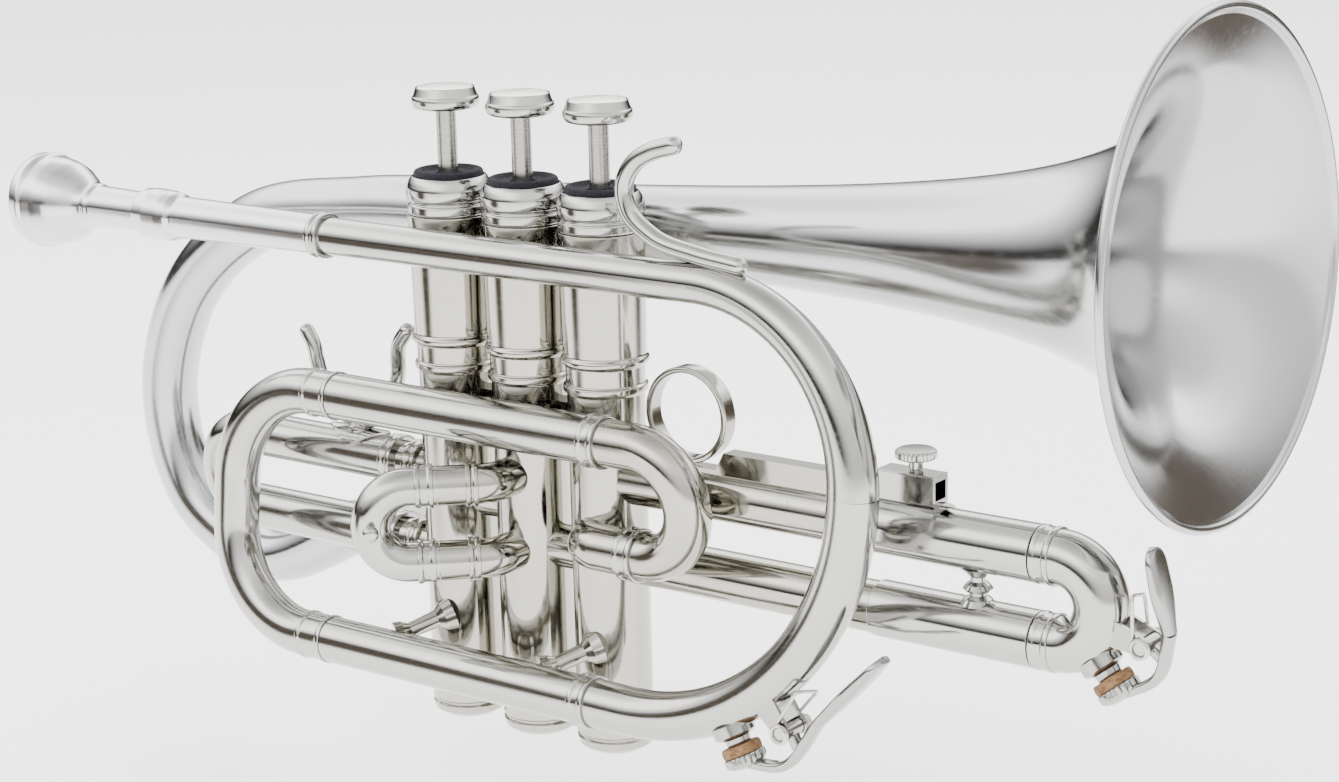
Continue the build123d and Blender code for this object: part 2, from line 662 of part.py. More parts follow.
with BuildPart() as second_slide_bow:
    with BuildLine() as route:
        slide_top = second_point(SECOND_LENGTH, SECOND_Z[0])
        slide_low = second_point(SECOND_LENGTH, SECOND_Z[1])
        Line(second_point(SECOND_SLEEVE + 0.2, SECOND_Z[0]), slide_top)
        TangentArc(slide_top, slide_low, tangent=SECOND_DIR)
        Line(slide_low, second_point(SECOND_SLEEVE + 0.2, SECOND_Z[1]))
    pipe(route.line, SECOND_R, SECOND_R - 1.2)
    for height in SECOND_Z:
        ring(second_point(SECOND_SLEEVE + 3.3, height), SECOND_DIR, 4.8, SECOND_R + 0.3,
             SECOND_R - 0.6)
    knob_height = (SECOND_Z[0] + SECOND_Z[1]) / 2
    bow_reach = SECOND_LENGTH + (SECOND_Z[0] - SECOND_Z[1]) / 2
    face = Vector(*second_point(bow_reach, knob_height))
    outward = Vector(-SECOND_DIR[1], SECOND_DIR[0], 0)
    knob_root = tuple(face + outward * (SECOND_R - 0.5))
    knob = [(0, 0), (0, 1.7), (0.9, 1.3), (1.4, 1.8), (2.2, 2.2), (3.2, 2.1), (3.9, 1.4),
            (4.1, 0.0)]
    turned(knob_root, tuple(outward), knob)
save(second_slide_bow, "second_slide_bow")

# ---------------------------------------------------------------- third slide
with BuildPart() as third_fixed_legs:
    for height in THIRD_Z:
        rod((VALVE_X[2], 0, height), (THIRD_SEAM_X, 0, height), THIRD_KNUCKLE_R,
            THIRD_INNER_R + 0.2)
    cut_casing(VALVE_X[2])
save(third_fixed_legs, "third_fixed_legs")

with BuildPart() as third_outer_legs:
    for height in THIRD_Z:
        rod((THIRD_SEAM_X, 0, height), (THIRD_END_X - 2.6, 0, height), THIRD_R,
            THIRD_INNER_R + FIT)
save(third_outer_legs, "third_outer_legs")

with BuildPart() as third_slide_brace:
    post = [(0, 0), (0, 4.4), (1.3, 3.4), (2.2, 1.9), (2.6, 1.9), (3.1, 2.9), (3.9, 3.6),
            (4.8, 2.9), (5.6, 1.9), (6.6, 1.9), (8.0, 3.4), (9.0, 4.4), (9.0, 0)]
    post_length = 9.0
    middle = (THIRD_Z[0] + THIRD_Z[1]) / 2
    turned((133.2, 0, middle - post_length / 2), (0, 0, 1), post)
    for height in THIRD_Z:
        cut_round((133.2, 0, height), (1, 0, 0), THIRD_R, 30)
save(third_slide_brace, "third_slide_brace")

with BuildPart() as third_slide_legs:
    for height in THIRD_Z:
        rod((THIRD_SEAM_X + 1.0, 0, height), (THIRD_END_X, 0, height), THIRD_INNER_R,
            THIRD_INNER_R - 0.6)
save(third_slide_legs, "third_slide_legs")

with BuildPart() as third_slide_bow:
    with BuildLine() as third_route:
        bend_top = (THIRD_BOW_X, 0, THIRD_Z[0])
        bend_low = (THIRD_BOW_X, 0, THIRD_Z[1])
        Line((THIRD_END_X, 0, THIRD_Z[0]), bend_top)
        TangentArc(bend_top, bend_low, tangent=(1, 0, 0))
        Line(bend_low, (THIRD_END_X, 0, THIRD_Z[1]))
    pipe(third_route.line, THIRD_BOW_R, THIRD_BOW_R - 1.2)
    third_key.drain()
    for height in THIRD_Z:
        ring((THIRD_END_X + 0.1, 0, height), (1, 0, 0), 4.8, THIRD_R, THIRD_INNER_R)
save(third_slide_bow, "third_slide_bow")

# ---------------------------------------------------------------- finger ring and lyre box
RING_X, RING_Z = 51.1, 10.4
RING_OUT, RING_IN, RING_BAND = 12.2, 10.6, 4.8
LEG_TOP = THIRD_Z[0] + THIRD_KNUCKLE_R
with BuildPart() as finger_ring:
    with BuildSketch(Plane(origin=(RING_X, RING_BAND / 2, RING_Z), z_dir=(0, -1, 0))) as hoop:
        Circle(RING_OUT)
        Circle(RING_IN, mode=Mode.SUBTRACT)
    extrude(hoop.sketch, amount=RING_BAND)
    fillet(finger_ring.edges().filter_by(GeomType.CIRCLE), 0.5)
save(finger_ring, "finger_ring")

with BuildPart() as finger_ring_rail:
    with BuildSketch(Plane(origin=(0, 2.4, 0), x_dir=(1, 0, 0), z_dir=(0, -1, 0))) as strip:
        with BuildLine():
            Polyline((40.5, LEG_TOP - 2.2), (40.5, LEG_TOP + 0.4), (60.0, LEG_TOP + 0.6),
                     (62.5, LEG_TOP + 5.2), (100.0, LEG_TOP + 5.2), (101.5, LEG_TOP + 3.7),
                     (101.5, LEG_TOP - 2.2), close=True)
        make_face()
    extrude(strip.sketch, amount=4.8)
    cut_round((70, 0, THIRD_Z[0]), (1, 0, 0), THIRD_KNUCKLE_R, 120)
    cut_round((RING_X, 0, RING_Z), (0, 1, 0), RING_OUT, 20)
save(finger_ring_rail, "finger_ring_rail")

BOX_X = (107.6, 123.0)
BOX_Z = (-1.9, 5.5)
BOX_HALF = 3.3
HOLE_HALF = 2.25
SCREW_X = 116.4
with BuildPart() as lyre_box:
    with BuildSketch(Plane.XY.offset(BOX_Z[0])) as base:
        with Locations(((BOX_X[0] + BOX_X[1]) / 2, 0)):
            Rectangle(BOX_X[1] - BOX_X[0], 2 * BOX_HALF)
    extrude(base.sketch, amount=BOX_Z[1] - BOX_Z[0])
    fillet(lyre_box.edges().filter_by(Axis.X), 0.5)
    with BuildSketch(Plane(origin=(BOX_X[0] - 1, 0, 1.7), z_dir=(1, 0, 0))) as socket:
        Rectangle(2 * HOLE_HALF, 4.6)
    extrude(socket.sketch, amount=30, mode=Mode.SUBTRACT)
    rod((SCREW_X, 0, 3), (SCREW_X, 0, 8), 1.6, mode=Mode.SUBTRACT)
    with BuildSketch(Plane(origin=(BOX_X[0] - 1.0, 0, THIRD_Z[0]), x_dir=(0, 1, 0),
                           z_dir=(1, 0, 0))) as saddle:
        Circle(THIRD_R + 0.9)
        Circle(THIRD_R, mode=Mode.SUBTRACT)
        with Locations((0, 3.2)):
            Rectangle(30, 30, align=(Align.CENTER, Align.MAX), mode=Mode.SUBTRACT)
    extrude(saddle.sketch, amount=17.4)
    cut_round((BOX_X[0], 0, THIRD_Z[0]), (1, 0, 0), THIRD_R, 60)
save(lyre_box, "lyre_box")

with BuildPart() as lyre_thumbscrew:
    outline = [(4.3, 0), (4.3, 1.2), (4.7, 1.55), (5.8, 1.55), (6.2, 1.75), (8.2, 1.75),
               (8.6, 4.6), (9.0, 5.0), (10.3, 5.0), (10.8, 4.4), (10.8, 0)]
    turned((SCREW_X, 0, 0), (0, 0, 1), outline)
    with BuildSketch(Plane.XY.offset(8.4)) as knurl:
        with Locations((SCREW_X, 0)):
            with PolarLocations(5.1, 28):
                Circle(0.28)
    extrude(knurl.sketch, amount=3, mode=Mode.SUBTRACT)
save(lyre_thumbscrew, "lyre_thumbscrew")

# ---------------------------------------------------------------- water keys
def saddle_of(key, ear_length, bend, name):
    """Nipple over the drain hole, and the two ears that hold the pivot."""
    with BuildPart() as saddle:
        foot = key.at(key.cork_angle, key.skin - 2.0)
        rim = 2.0 + NIPPLE
        turned(foot, key.out, [(0, DRAIN_R), (0, 5.2), (2.7, 5.2), (3.2, 4.6), (3.7, 3.3),
                               (rim - 0.2, 3.0), (rim, 2.8), (rim, DRAIN_R)])
        for side in (-1, 1):
            face = key.y + side * EAR_GAP + (EAR_THICK if side > 0 else 0)
            origin = (key.pivot[0], face, key.pivot[2])
            inward = Vector(key.centre[0] - key.pivot[0], 0, key.centre[1] - key.pivot[2])
            with BuildSketch(Plane(origin=origin, x_dir=inward, z_dir=(0, -1, 0))) as ear:
                with BuildLine():
                    Polyline((0, 2.2), (0, -2.2), (ear_length, -3.2), (ear_length, 3.2),
                             close=True)
                make_face()
                Circle(2.2)
                Circle(PIN_R, mode=Mode.SUBTRACT)
            extrude(ear.sketch, amount=EAR_THICK)
        pipe(bend, key.tube_r, mode=Mode.SUBTRACT)
    save(saddle, name)


def lever_of(key, route_spots, hub_target, tip, blade_width, name):
    """Lever: cork cup, arm bent round the pivot, hub and finger blade."""
    with BuildPart() as lever:
        cup = tuple(Vector(*key.cork) + Vector(*key.out) * CORK)
        turned(cup, key.out, [(0, 0), (0, CUP_R), (2.0, CUP_R - 0.1), (2.9, CUP_R - 1.2),
                              (3.5, 2.2), (3.5, 0)])
        with BuildLine() as arm:
            ThreePointArc(*route_spots)
        with BuildSketch(Plane(origin=arm.line @ 0, x_dir=(0, 1, 0), z_dir=arm.line % 0)) as bar:
            Rectangle(4.4, 2.2)
        sweep(bar.sketch, path=arm.line)
        rod((key.pivot[0], key.y - EAR_GAP + 0.15, key.pivot[2]),
            (key.pivot[0], key.y + EAR_GAP - 0.15, key.pivot[2]), 2.0)
        web = Vector(*hub_target) - Vector(*key.pivot)
        with BuildSketch(Plane(origin=key.pivot, x_dir=(0, 1, 0), z_dir=web)) as rib:
            Rectangle(3.6, 3.0)
        extrude(rib.sketch, amount=web.length)
        root = route_spots[2]
        reach = Vector(*tip) - Vector(*root)
        flat = Plane(origin=root, x_dir=reach, z_dir=reach.cross(Vector(0, 1, 0)))
        with BuildSketch(flat) as blade:
            with BuildLine():
                Polyline((-2.5, -2.2), (reach.length * 0.5, -blade_width / 2),
                         (reach.length - blade_width / 2, -blade_width / 2),
                         (reach.length - blade_width / 2, blade_width / 2),
                         (reach.length * 0.5, blade_width / 2), (-2.5, 2.2), close=True)
            make_face()
            with Locations((reach.length - blade_width / 2, 0)):
                Circle(blade_width / 2)
        extrude(blade.sketch, amount=0.8, both=True)
        rod((key.pivot[0], key.y - 5, key.pivot[2]), (key.pivot[0], key.y + 5, key.pivot[2]),
            PIN_R + FIT, mode=Mode.SUBTRACT)
    save(lever, name)


def cork_of(key, name):
    with BuildPart() as cork:
        turned(key.cork, key.out, [(0, 0), (0, CUP_R - 0.7), (0.4, CUP_R - 0.3),
                                   (CORK, CUP_R - 0.3), (CORK, 0)])
    save(cork, name)


def screw_of(key, name):
    with BuildPart() as screw:
        edge = EAR_GAP + EAR_THICK
        outline = [(0, 0), (0, 1.6), (0.7, 1.9), (1.0, 1.9), (1.0, PIN_R - 0.01),
                   (1.0 + 2 * edge, PIN_R - 0.01), (1.0 + 2 * edge, 0)]
        turned((key.pivot[0], key.y - edge - 1.0, key.pivot[2]), (0, 1, 0), outline)
    save(screw, name)


key_y = front_key.y
arm_start = tuple(Vector(*front_key.cork) + Vector(*front_key.out) * (CORK + 2.2))
saddle_of(front_key, 8.0, lower_route.line, "front_water_key_saddle")
lever_of(front_key, (arm_start, (93.4, key_y, -65.4), (104.0, key_y, -52.2)),
         (99.8, key_y, -60.0), (122.5, key_y, -33.0), 7.4, "front_water_key_lever")
cork_of(front_key, "front_water_key_cork")
screw_of(front_key, "front_water_key_screw")

arm_start = tuple(Vector(*third_key.cork) + Vector(*third_key.out) * (CORK + 2.2))
saddle_of(third_key, 8.4, third_route.line, "third_water_key_saddle")
lever_of(third_key, (arm_start, (179.9, 0, -33.2), (182.6, 0, -22.5)), (181.8, 0, -28.2),
         (178.0, 0, -3.0), 7.0, "third_water_key_lever")
cork_of(third_key, "third_water_key_cork")
screw_of(third_key, "third_water_key_screw")

# ---------------------------------------------------------------- hook, braces and stays
with BuildPart() as pinky_hook:
    with BuildLine() as route:
        Spline((78, LEAD_Y, 53.2), (66, LEAD_Y, 54.6), (53.0, LEAD_Y, 57.8), (46.2, LEAD_Y, 63.4),
               (45.0, LEAD_Y, 69.5), (48.3, LEAD_Y, 75.2), (53.8, LEAD_Y, 78.4),
               (60.0, LEAD_Y, 80.2))
    pipe(route.line, 2.3)
    for end in (route.line @ 0, route.line @ 1):
        with Locations(end):
            Sphere(2.3)
    cut_round((50, LEAD_Y, LEAD_Z), (1, 0, 0), LEAD_R, 2 * (FRONT_BOW_X - 50))
    tapered_pipe(upper_route.line, (LEAD_R, BOW_R), mode=Mode.SUBTRACT)
save(pinky_hook, "pinky_hook")

with BuildPart() as body_braces:
    for valve_x in (VALVE_X[0], VALVE_X[2]):
        start = Vector(valve_x + 1.6, -8.0, -52.2)
        run = Vector(valve_x - 7.0, -20.5, -57.0) - start
        profile = [(0, 0), (0, 4.6), (2.6, 4.0), (4.4, 2.4), (run.length - 4.0, 2.1),
                   (run.length - 2.2, 3.4), (run.length, 4.0), (run.length, 0)]
        turned(tuple(start), tuple(run), profile)
        behind = (BELL_RIM[0] - valve_x) / cos(radians(BELL_RISE))
        height = bell_point(behind)[2]
        rod((valve_x, 8.0, height), (valve_x, BELL_Y - 5.0, height), 3.4)
    for valve_x in (VALVE_X[0], VALVE_X[2]):
        cut_round((valve_x, 0, -60), (0, 0, 1), CASING_R, 60)
        cut_round((valve_x, 0, 40), (0, 0, 1), BARREL_R, 60)
    cut_round((0, *LOWER_LEG), (1, 0, 0), LEG_R, 200)
    cut_round(bell_point(BELL_RIM[0] - VALVE_X[0]), BELL_DIR, flare(204.0) + 0.7, 20)
    cut_round(bell_point(BELL_RIM[0] - VALVE_X[2]), BELL_DIR, flare(150.0) + 0.02, 20)
save(body_braces, "body_braces")

# ---------------------------------------------------------------- mouthpiece
with BuildPart() as mouthpiece:
    outline = [
        (20.0, 1.9),
        (16.5, 3.6),
        (13.0, 6.0),
        (8.0, 7.6),
        (3.0, 8.2),
        (1.0, 8.7),
        (0.2, 9.8),
        (0, 11.0),
        (0.4, 12.3),
        (1.6, 13.3),
        (4.6, 13.5),
        (5.6, 12.7),
        (9.5, 12.3),
        (13.5, 11.2),
        (17.5, 8.8),
        (20.5, 6.7),
        (22.5, 6.0),
        (24.0, 6.4),
        (25.2, 5.85),
        (43.4, 5.46),
        (63.4, 4.94),
        (63.4, 4.1),
        (26.0, 1.9),
    ]
    turned((RECEIVER_X[0] - 43.4, LEAD_Y, LEAD_Z), (1, 0, 0), outline)
save(mouthpiece, "mouthpiece")
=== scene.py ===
from math import atan2, cos, pi, radians, sin, sqrt, tan

import bpy
from mathutils import Matrix, Vector


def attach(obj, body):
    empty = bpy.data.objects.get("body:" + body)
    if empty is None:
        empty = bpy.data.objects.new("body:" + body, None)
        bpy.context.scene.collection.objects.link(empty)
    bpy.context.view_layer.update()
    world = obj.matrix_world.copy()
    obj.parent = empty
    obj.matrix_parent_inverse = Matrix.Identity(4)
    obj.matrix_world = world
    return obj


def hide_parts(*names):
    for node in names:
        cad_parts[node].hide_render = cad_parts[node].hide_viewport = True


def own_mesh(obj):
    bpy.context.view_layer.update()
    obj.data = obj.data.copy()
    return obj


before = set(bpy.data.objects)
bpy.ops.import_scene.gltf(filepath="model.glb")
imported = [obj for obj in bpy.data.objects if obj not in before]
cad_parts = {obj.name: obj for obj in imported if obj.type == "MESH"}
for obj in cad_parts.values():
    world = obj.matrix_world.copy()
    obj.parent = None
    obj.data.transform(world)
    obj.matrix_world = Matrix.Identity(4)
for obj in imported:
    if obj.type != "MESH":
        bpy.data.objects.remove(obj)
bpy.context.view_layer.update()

# The looks of a plated cornet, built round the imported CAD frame.
# Lengths in this file are millimetres until mesh_object() turns them into metres.
MM = 0.001
BODY = "cornet_body"

# ---- the CAD's own dimensions
VALVE_X = (-24.8, 0.0, 24.8)
CASING_R, BORE_R, BARREL_R, NECK_R, FOOT_R = 9.9, 8.6, 11.0, 10.1, 9.4
CASING_BOTTOM, FOOT_TOP = -78.0, -73.5
BARREL_BOTTOM, BARREL_TOP, NECK_TOP = 22.0, 54.0, 60.5
CAP_R, CAP_TOP, CAP_HOLE_R = 10.9, 62.6, 5.0
BOTTOM_CAP_R, BOTTOM_CAP_END = 10.1, -82.6
PISTON_TOP = 27.0
STEM_R, BUTTON_BOTTOM, BUTTON_R, PEARL_EDGE = 2.6, 81.0, 8.6, 86.6
LEAD_Y, LEAD_Z, LEAD_R = -16.3, 47.7, 4.95
RECEIVER_X = (-120.6, -56.4)
BOW_R, WALL, SLIDE_WALL, FIT = 6.15, 0.9, 0.6, 0.05
FRONT_BOW_X, FRONT_TOP_BEND = 66.3, 45.0
LEGS = UPPER_LEG, LOWER_LEG = (-16.45, 4.8), (-23.5, -60.8)
LEG_R, INNER_LEG_R = 6.2, 5.3
TUNING_SEAM_X, TUNING_BOW_X, TUNING_BOW_BACK, TUNING_BEND = -51.8, -60.4, -88.9, 27.0
LEG_FRONT_X, INLET_BEND_X, INLET_LEG, INLET_ELBOW = 32.5, 45.7, (-12.6, -24.1), 6.9
FIRST_Z, FIRST_OUTER_R, FIRST_INNER_R = (-15.5, -36.8), 6.2, 5.3
FIRST_SEAM_X, FIRST_BOW_X, SADDLE_X = -44.9, -102.8, -60.4
SECOND_Z, SECOND_R, SECOND_ANGLE, SECOND_ELBOW = (-11.1, -31.0), 5.1, 42.0, 8.0
SECOND_STANDOFF, SECOND_SLEEVE, SECOND_LENGTH = 3.1, 10.5, 17.75
THIRD_Z, THIRD_R, THIRD_KNUCKLE_R, THIRD_INNER_R = (-9.2, -29.9), 6.9, 6.4, 5.7
THIRD_SEAM_X, THIRD_END_X, THIRD_BOW_X, THIRD_BOW_R = 106.5, 152.3, 155.2, 6.6
BELL_Y, BELL_RIM, BELL_RISE, BELL_R = 22.8, (183.2, 56.3), 1.95, 59.5
BELL_LENGTH, FLARE_POWER, FLARE_LEAD, BELL_WALL, RIM_BEAD_R = 200.0, 0.6, 9.76, 0.9, 1.1
CROOK_SPOTS = ((-76.5, 46.4), (-119.5, 38.0), (-149.5, 11.6), (-158.8, -18.5), (-149.5, -47.5),
               (-124.0, -60.5))
CROOK_END, CROOK_TAIL_R, TAIL_R, TAIL_TURN = (-86.0, -47.0), 7.5, 6.1, (-40.5, 21.0, -26.0)
TAIL_BEND, HOOK_R = 14.0, 2.3
BELL_DIR = Vector((cos(radians(BELL_RISE)), 0, sin(radians(BELL_RISE))))
SECOND_DIR = Vector((-cos(radians(SECOND_ANGLE)), -sin(radians(SECOND_ANGLE)), 0))
X, Y, Z = Vector((1, 0, 0)), Vector((0, 1, 0)), Vector((0, 0, 1))


def bell_point(along):
    return Vector((BELL_RIM[0], BELL_Y, BELL_RIM[1])) - BELL_DIR * along


def flare(along):
    return BELL_R * (FLARE_LEAD / (FLARE_LEAD + along)) ** FLARE_POWER


# ---- mesh helpers
NEARLY_STRAIGHT, CORNER_SHARE, SAME_SPOT, TINY = radians(176), 0.42, 0.02, 1e-6
TRIM_R, DOME_RINGS = CASING_R - 0.3, 8


def mesh_object(name, points, faces, crease=38):
    """Smooth-shaded object from millimetre points and faces, with true corners kept sharp."""
    mesh = bpy.data.meshes.new(name)
    mesh.from_pydata([Vector(p) * MM for p in points], [], faces)
    mesh.validate()
    mesh.update()
    mesh.polygons.foreach_set("use_smooth", [True] * len(mesh.polygons))
    mesh.set_sharp_from_angle(angle=radians(crease))
    piece = bpy.data.objects.new(name, mesh)
    bpy.context.scene.collection.objects.link(piece)
    weighted = piece.modifiers.new("even_normals", "WEIGHTED_NORMAL")
    weighted.keep_sharp = True
    return piece


def dress(piece, body, material, *replaced, slot="nickel_plate"):
    """The piece's own material, the body it moves with and the CAD nodes it replaces. slot is not
    used.
    """
    piece.data.materials.append(material)
    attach(piece, body)
    if replaced:
        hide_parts(*replaced)


def offsets(along, radius, pairs):
    """Outline points given as steps from one distance and one radius."""
    return [(along + a, radius + r) for a, r in pairs]


def soften(outline, radius):
    """Round the corners of a closed outline, so that every edge catches a highlight."""
    out = []
    for i, entry in enumerate(outline):
        here, before = Vector(entry), Vector(outline[i - 1])
        after = Vector(outline[(i + 1) % len(outline)])
        to_before, to_after = before - here, after - here
        if (here.y < TINY or to_before.length < TINY or to_after.length < TINY
                or to_before.angle(to_after) > NEARLY_STRAIGHT):
            out.append(tuple(here))
            continue
        reach = min(radius, CORNER_SHARE * to_before.length, CORNER_SHARE * to_after.length)
        first = here + to_before.normalized() * reach
        last = here + to_after.normalized() * reach
        for t in (0.0, 0.33, 0.67, 1.0):
            out.append(tuple(first * (1 - t) ** 2 + here * 2 * t * (1 - t) + last * t * t))
    return out


def append_ring(points, rings, spots):
    rings.append(list(range(len(points), len(points) + len(spots))))
    points += spots


def join_loops(rings, closed=False):
    """Faces between rings of points; a pole is a ring of one point."""
    faces = []
    total = len(rings)
    for i in range(total if closed else total - 1):
        a, b = rings[i], rings[(i + 1) % total]
        if len(a) == 1 and len(b) == 1:
            continue
        segments = max(len(a), len(b))
        for k in range(segments):
            m = (k + 1) % segments
            if len(a) == 1:
                faces.append((a[0], b[m], b[k]))
            elif len(b) == 1:
                faces.append((a[k], a[m], b[0]))
            else:
                faces.append((a[k], a[m], b[m], b[k]))
    return faces


def join_capped(rings):
    """Faces between rings in a row, with a flat face on each end."""
    return join_loops(rings) + [tuple(rings[0][::-1]), tuple(rings[-1])]


def frame_of(axis):
    axis = Vector(axis).normalized()
    side = Z if abs(axis.z) < 0.7 else X
    across = axis.cross(side).normalized()
    return axis, across, axis.cross(across).normalized()


def lathe_data(start, axis, outline, segments=96, soft=0.15, flutes=None):
    """Points and faces of a turned shape from (distance, radius) pairs.
    flutes is (low, high, count, depth): grooves cut in the stretch between two distances."""
    axis, u, v = frame_of(axis)
    start = Vector(start)
    if flutes:
        segments = flutes[2] * 6
    points, rings = [], []
    for along, radius in soften(outline, soft):
        if radius < TINY:
            append_ring(points, rings, [start + axis * along])
            continue
        ring = []
        for k in range(segments):
            turn = 2 * pi * k / segments
            r = radius
            if flutes and flutes[0] <= along <= flutes[1]:
                r -= flutes[3] * (0.5 - 0.5 * cos(turn * flutes[2]))
            ring.append(start + axis * along + (u * cos(turn) + v * sin(turn)) * r)
        append_ring(points, rings, ring)
    return points, join_loops(rings, closed=True)


def lathe(name, start, axis, outline, **options):
    return mesh_object(name, *lathe_data(start, axis, outline, **options))


def lathes(name, places, axis, outline, **options):
    """One object with the same turned shape at several places."""
    return merged(name, [lathe_data(place, axis, outline, **options) for place in places])


def merged(name, shapes, crease=38):
    points, faces = [], []
    for more, their_faces in shapes:
        base = len(points)
        points += list(more)
        faces += [tuple(i + base for i in face) for face in their_faces]
    return mesh_object(name, points, faces, crease)


def fillet_path(corners, radius, step=3.0):
    """Points along straight runs joined by arcs of less than half a turn."""
    corners = [Vector(c) for c in corners]
    out = [corners[0]]
    for before, here, after in zip(corners, corners[1:], corners[2:]):
        a, b = (before - here).normalized(), (after - here).normalized()
        half = a.angle(b) / 2
        reach = radius / tan(half)
        centre = here + (a + b).normalized() * radius / sin(half)
        from_centre, to_centre = here + a * reach - centre, here + b * reach - centre
        sweep = pi - 2 * half
        count = max(10, int(sweep * radius / step) + 4)
        for k in range(count + 1):
            t = k / count
            out.append(centre + (from_centre * sin((1 - t) * sweep)
                                 + to_centre * sin(t * sweep)) / sin(sweep))
    out.append(corners[-1])
    return out


def arc_points(centre, from_centre, toward, sweep, count=40):
    """Points of an arc: from_centre turned toward a second direction by an angle."""
    centre, a = Vector(centre), Vector(from_centre)
    b = Vector(toward).normalized() * a.length
    return [centre + a * cos(sweep * k / count) + b * sin(sweep * k / count)
            for k in range(count + 1)]


def spline_points(spots, start_dir=None, end_dir=None, per_span=14):
    """Smooth curve through spots (cubic, with chord-length tangents)."""
    spots = [Vector(s) for s in spots]
    count = len(spots)
    gap = [(spots[i + 1] - spots[i]).length for i in range(count - 1)]
    slopes = []
    for i in range(count):
        if i == 0:
            slope = Vector(start_dir).normalized() if start_dir is not None else \
                (spots[1] - spots[0]) / gap[0]
        elif i == count - 1:
            slope = Vector(end_dir).normalized() if end_dir is not None else \
                (spots[-1] - spots[-2]) / gap[-1]
        else:
            before, after = gap[i - 1], gap[i]
            slope = ((spots[i] - spots[i - 1]) / before * after
                     + (spots[i + 1] - spots[i]) / after * before) / (before + after)
        slopes.append(slope)
    out = [spots[0]]
    for i in range(count - 1):
        h = gap[i]
        for k in range(1, per_span + 1):
            t = k / per_span
            out.append(spots[i] * (2 * t ** 3 - 3 * t * t + 1)
                       + slopes[i] * h * (t ** 3 - 2 * t * t + t)
                       + spots[i + 1] * (3 * t * t - 2 * t ** 3)
                       + slopes[i + 1] * h * (t ** 3 - t * t))
    return out


def clean(path):
    """The path without points that fall on the one before."""
    out = [Vector(path[0])]
    for point in path[1:]:
        if (Vector(point) - out[-1]).length > SAME_SPOT:
            out.append(Vector(point))
    return out


def lengths_along(path):
    length = [0.0]
    for a, b in zip(path, path[1:]):
        length.append(length[-1] + (b - a).length)
    return length


def directions(path):
    ways = [path[1] - path[0]]
    for before, here, after in zip(path, path[1:], path[2:]):
        ways.append((after - here).normalized() + (here - before).normalized())
    return [way.normalized() for way in ways + [path[-1] - path[-2]]]


def tube_data(path, radius, inner=None, segments=80, trim=None):
    """Points and faces of a tube along a path, or of a dome-ended bar where inner is None.
    radius and inner are numbers or (first, last) pairs that change evenly along the path.
    trim is (valve_x, place in path): the ring there runs on to the casing of that valve."""
    path = clean(path)
    ways = directions(path)
    length = lengths_along(path)
    last = len(path) - 1

    def size_at(size, i):
        if isinstance(size, (tuple, list)):
            return size[0] + (size[1] - size[0]) * length[i] / length[-1]
        return size

    _, u, _ = frame_of(ways[0])
    frames = []
    for i, way in enumerate(ways):
        if i:
            u = ways[i - 1].rotation_difference(way) @ u
            u = (u - way * u.dot(way)).normalized()
        frames.append((u.copy(), way.cross(u).normalized()))
    points, rings = [], []

    def add_ring(i, r, shift=0.0):
        a, b = frames[i]
        ring = []
        for k in range(segments):
            turn = 2 * pi * k / segments
            spot = path[i] + ways[i] * shift + (a * cos(turn) + b * sin(turn)) * r
            if trim and i == trim[1] % len(path):
                spot = reach_casing(spot, ways[i] * (-1 if i == 0 else 1), trim[0], TRIM_R)
            ring.append(spot)
        append_ring(points, rings, ring)

    def add_dome(i, side, layers):
        r = size_at(radius, i)
        for k in layers:
            if k == DOME_RINGS:
                append_ring(points, rings, [path[i] + ways[i] * (side * r)])
            else:
                angle = pi / 2 * k / DOME_RINGS
                add_ring(i, r * cos(angle), side * r * sin(angle))

    if inner is None:
        add_dome(0, -1, range(DOME_RINGS, 0, -1))
    for i in range(len(path)):
        add_ring(i, size_at(radius, i))
    if inner is None:
        add_dome(last, 1, range(1, DOME_RINGS + 1))
        return points, join_loops(rings)
    for i in range(last, -1, -1):
        add_ring(i, size_at(inner, i))
    return points, join_loops(rings, closed=True)


def reach_casing(spot, way, valve_x, radius):
    """Move a point along a direction until it meets a valve casing."""
    p = Vector((spot.x - valve_x, spot.y))
    d = Vector((way.x, way.y))
    a = d.dot(d)
    b = 2 * p.dot(d)
    c = p.dot(p) - radius * radius
    inside = b * b - 4 * a * c
    if inside <= 0 or a < 1e-9:
        return spot
    return spot + way * ((-b - sqrt(inside)) / (2 * a))


def tube(name, path, radius, inner=None, **options):
    return mesh_object(name, *tube_data(path, radius, inner, **options))


def ring_outline(length, radius, inner, bead):
    return [(0, inner), (0, radius + bead), (1.1, radius + bead), (1.5, radius),
            (length - 1.5, radius), (length - 1.1, radius + bead), (length, radius + bead),
            (length, inner)]


def ring_data(centre, axis, length, radius, inner, bead=0.35):
    start = Vector(centre) - Vector(axis).normalized() * (length / 2)
    return lathe_data(start, axis, ring_outline(length, radius, inner, bead), soft=0.3)


# ---- materials
def add(tree, kind, sockets=(), **settings):
    """New node with its settings. A setting fills the input of that name if there is one.
    sockets maps inputs to constants or to the outputs of other nodes."""
    node = tree.nodes.new("ShaderNode" + kind)
    for key, value in settings.items():
        if key in node.inputs:
            node.inputs[key].default_value = value
        else:
            setattr(node, key, value)
    plug(tree, node, sockets)
    return node


def plug(tree, node, sockets):
    for key, value in dict(sockets).items():
        if isinstance(value, bpy.types.NodeSocket):
            tree.links.new(value, node.inputs[key])
        else:
            node.inputs[key].default_value = value


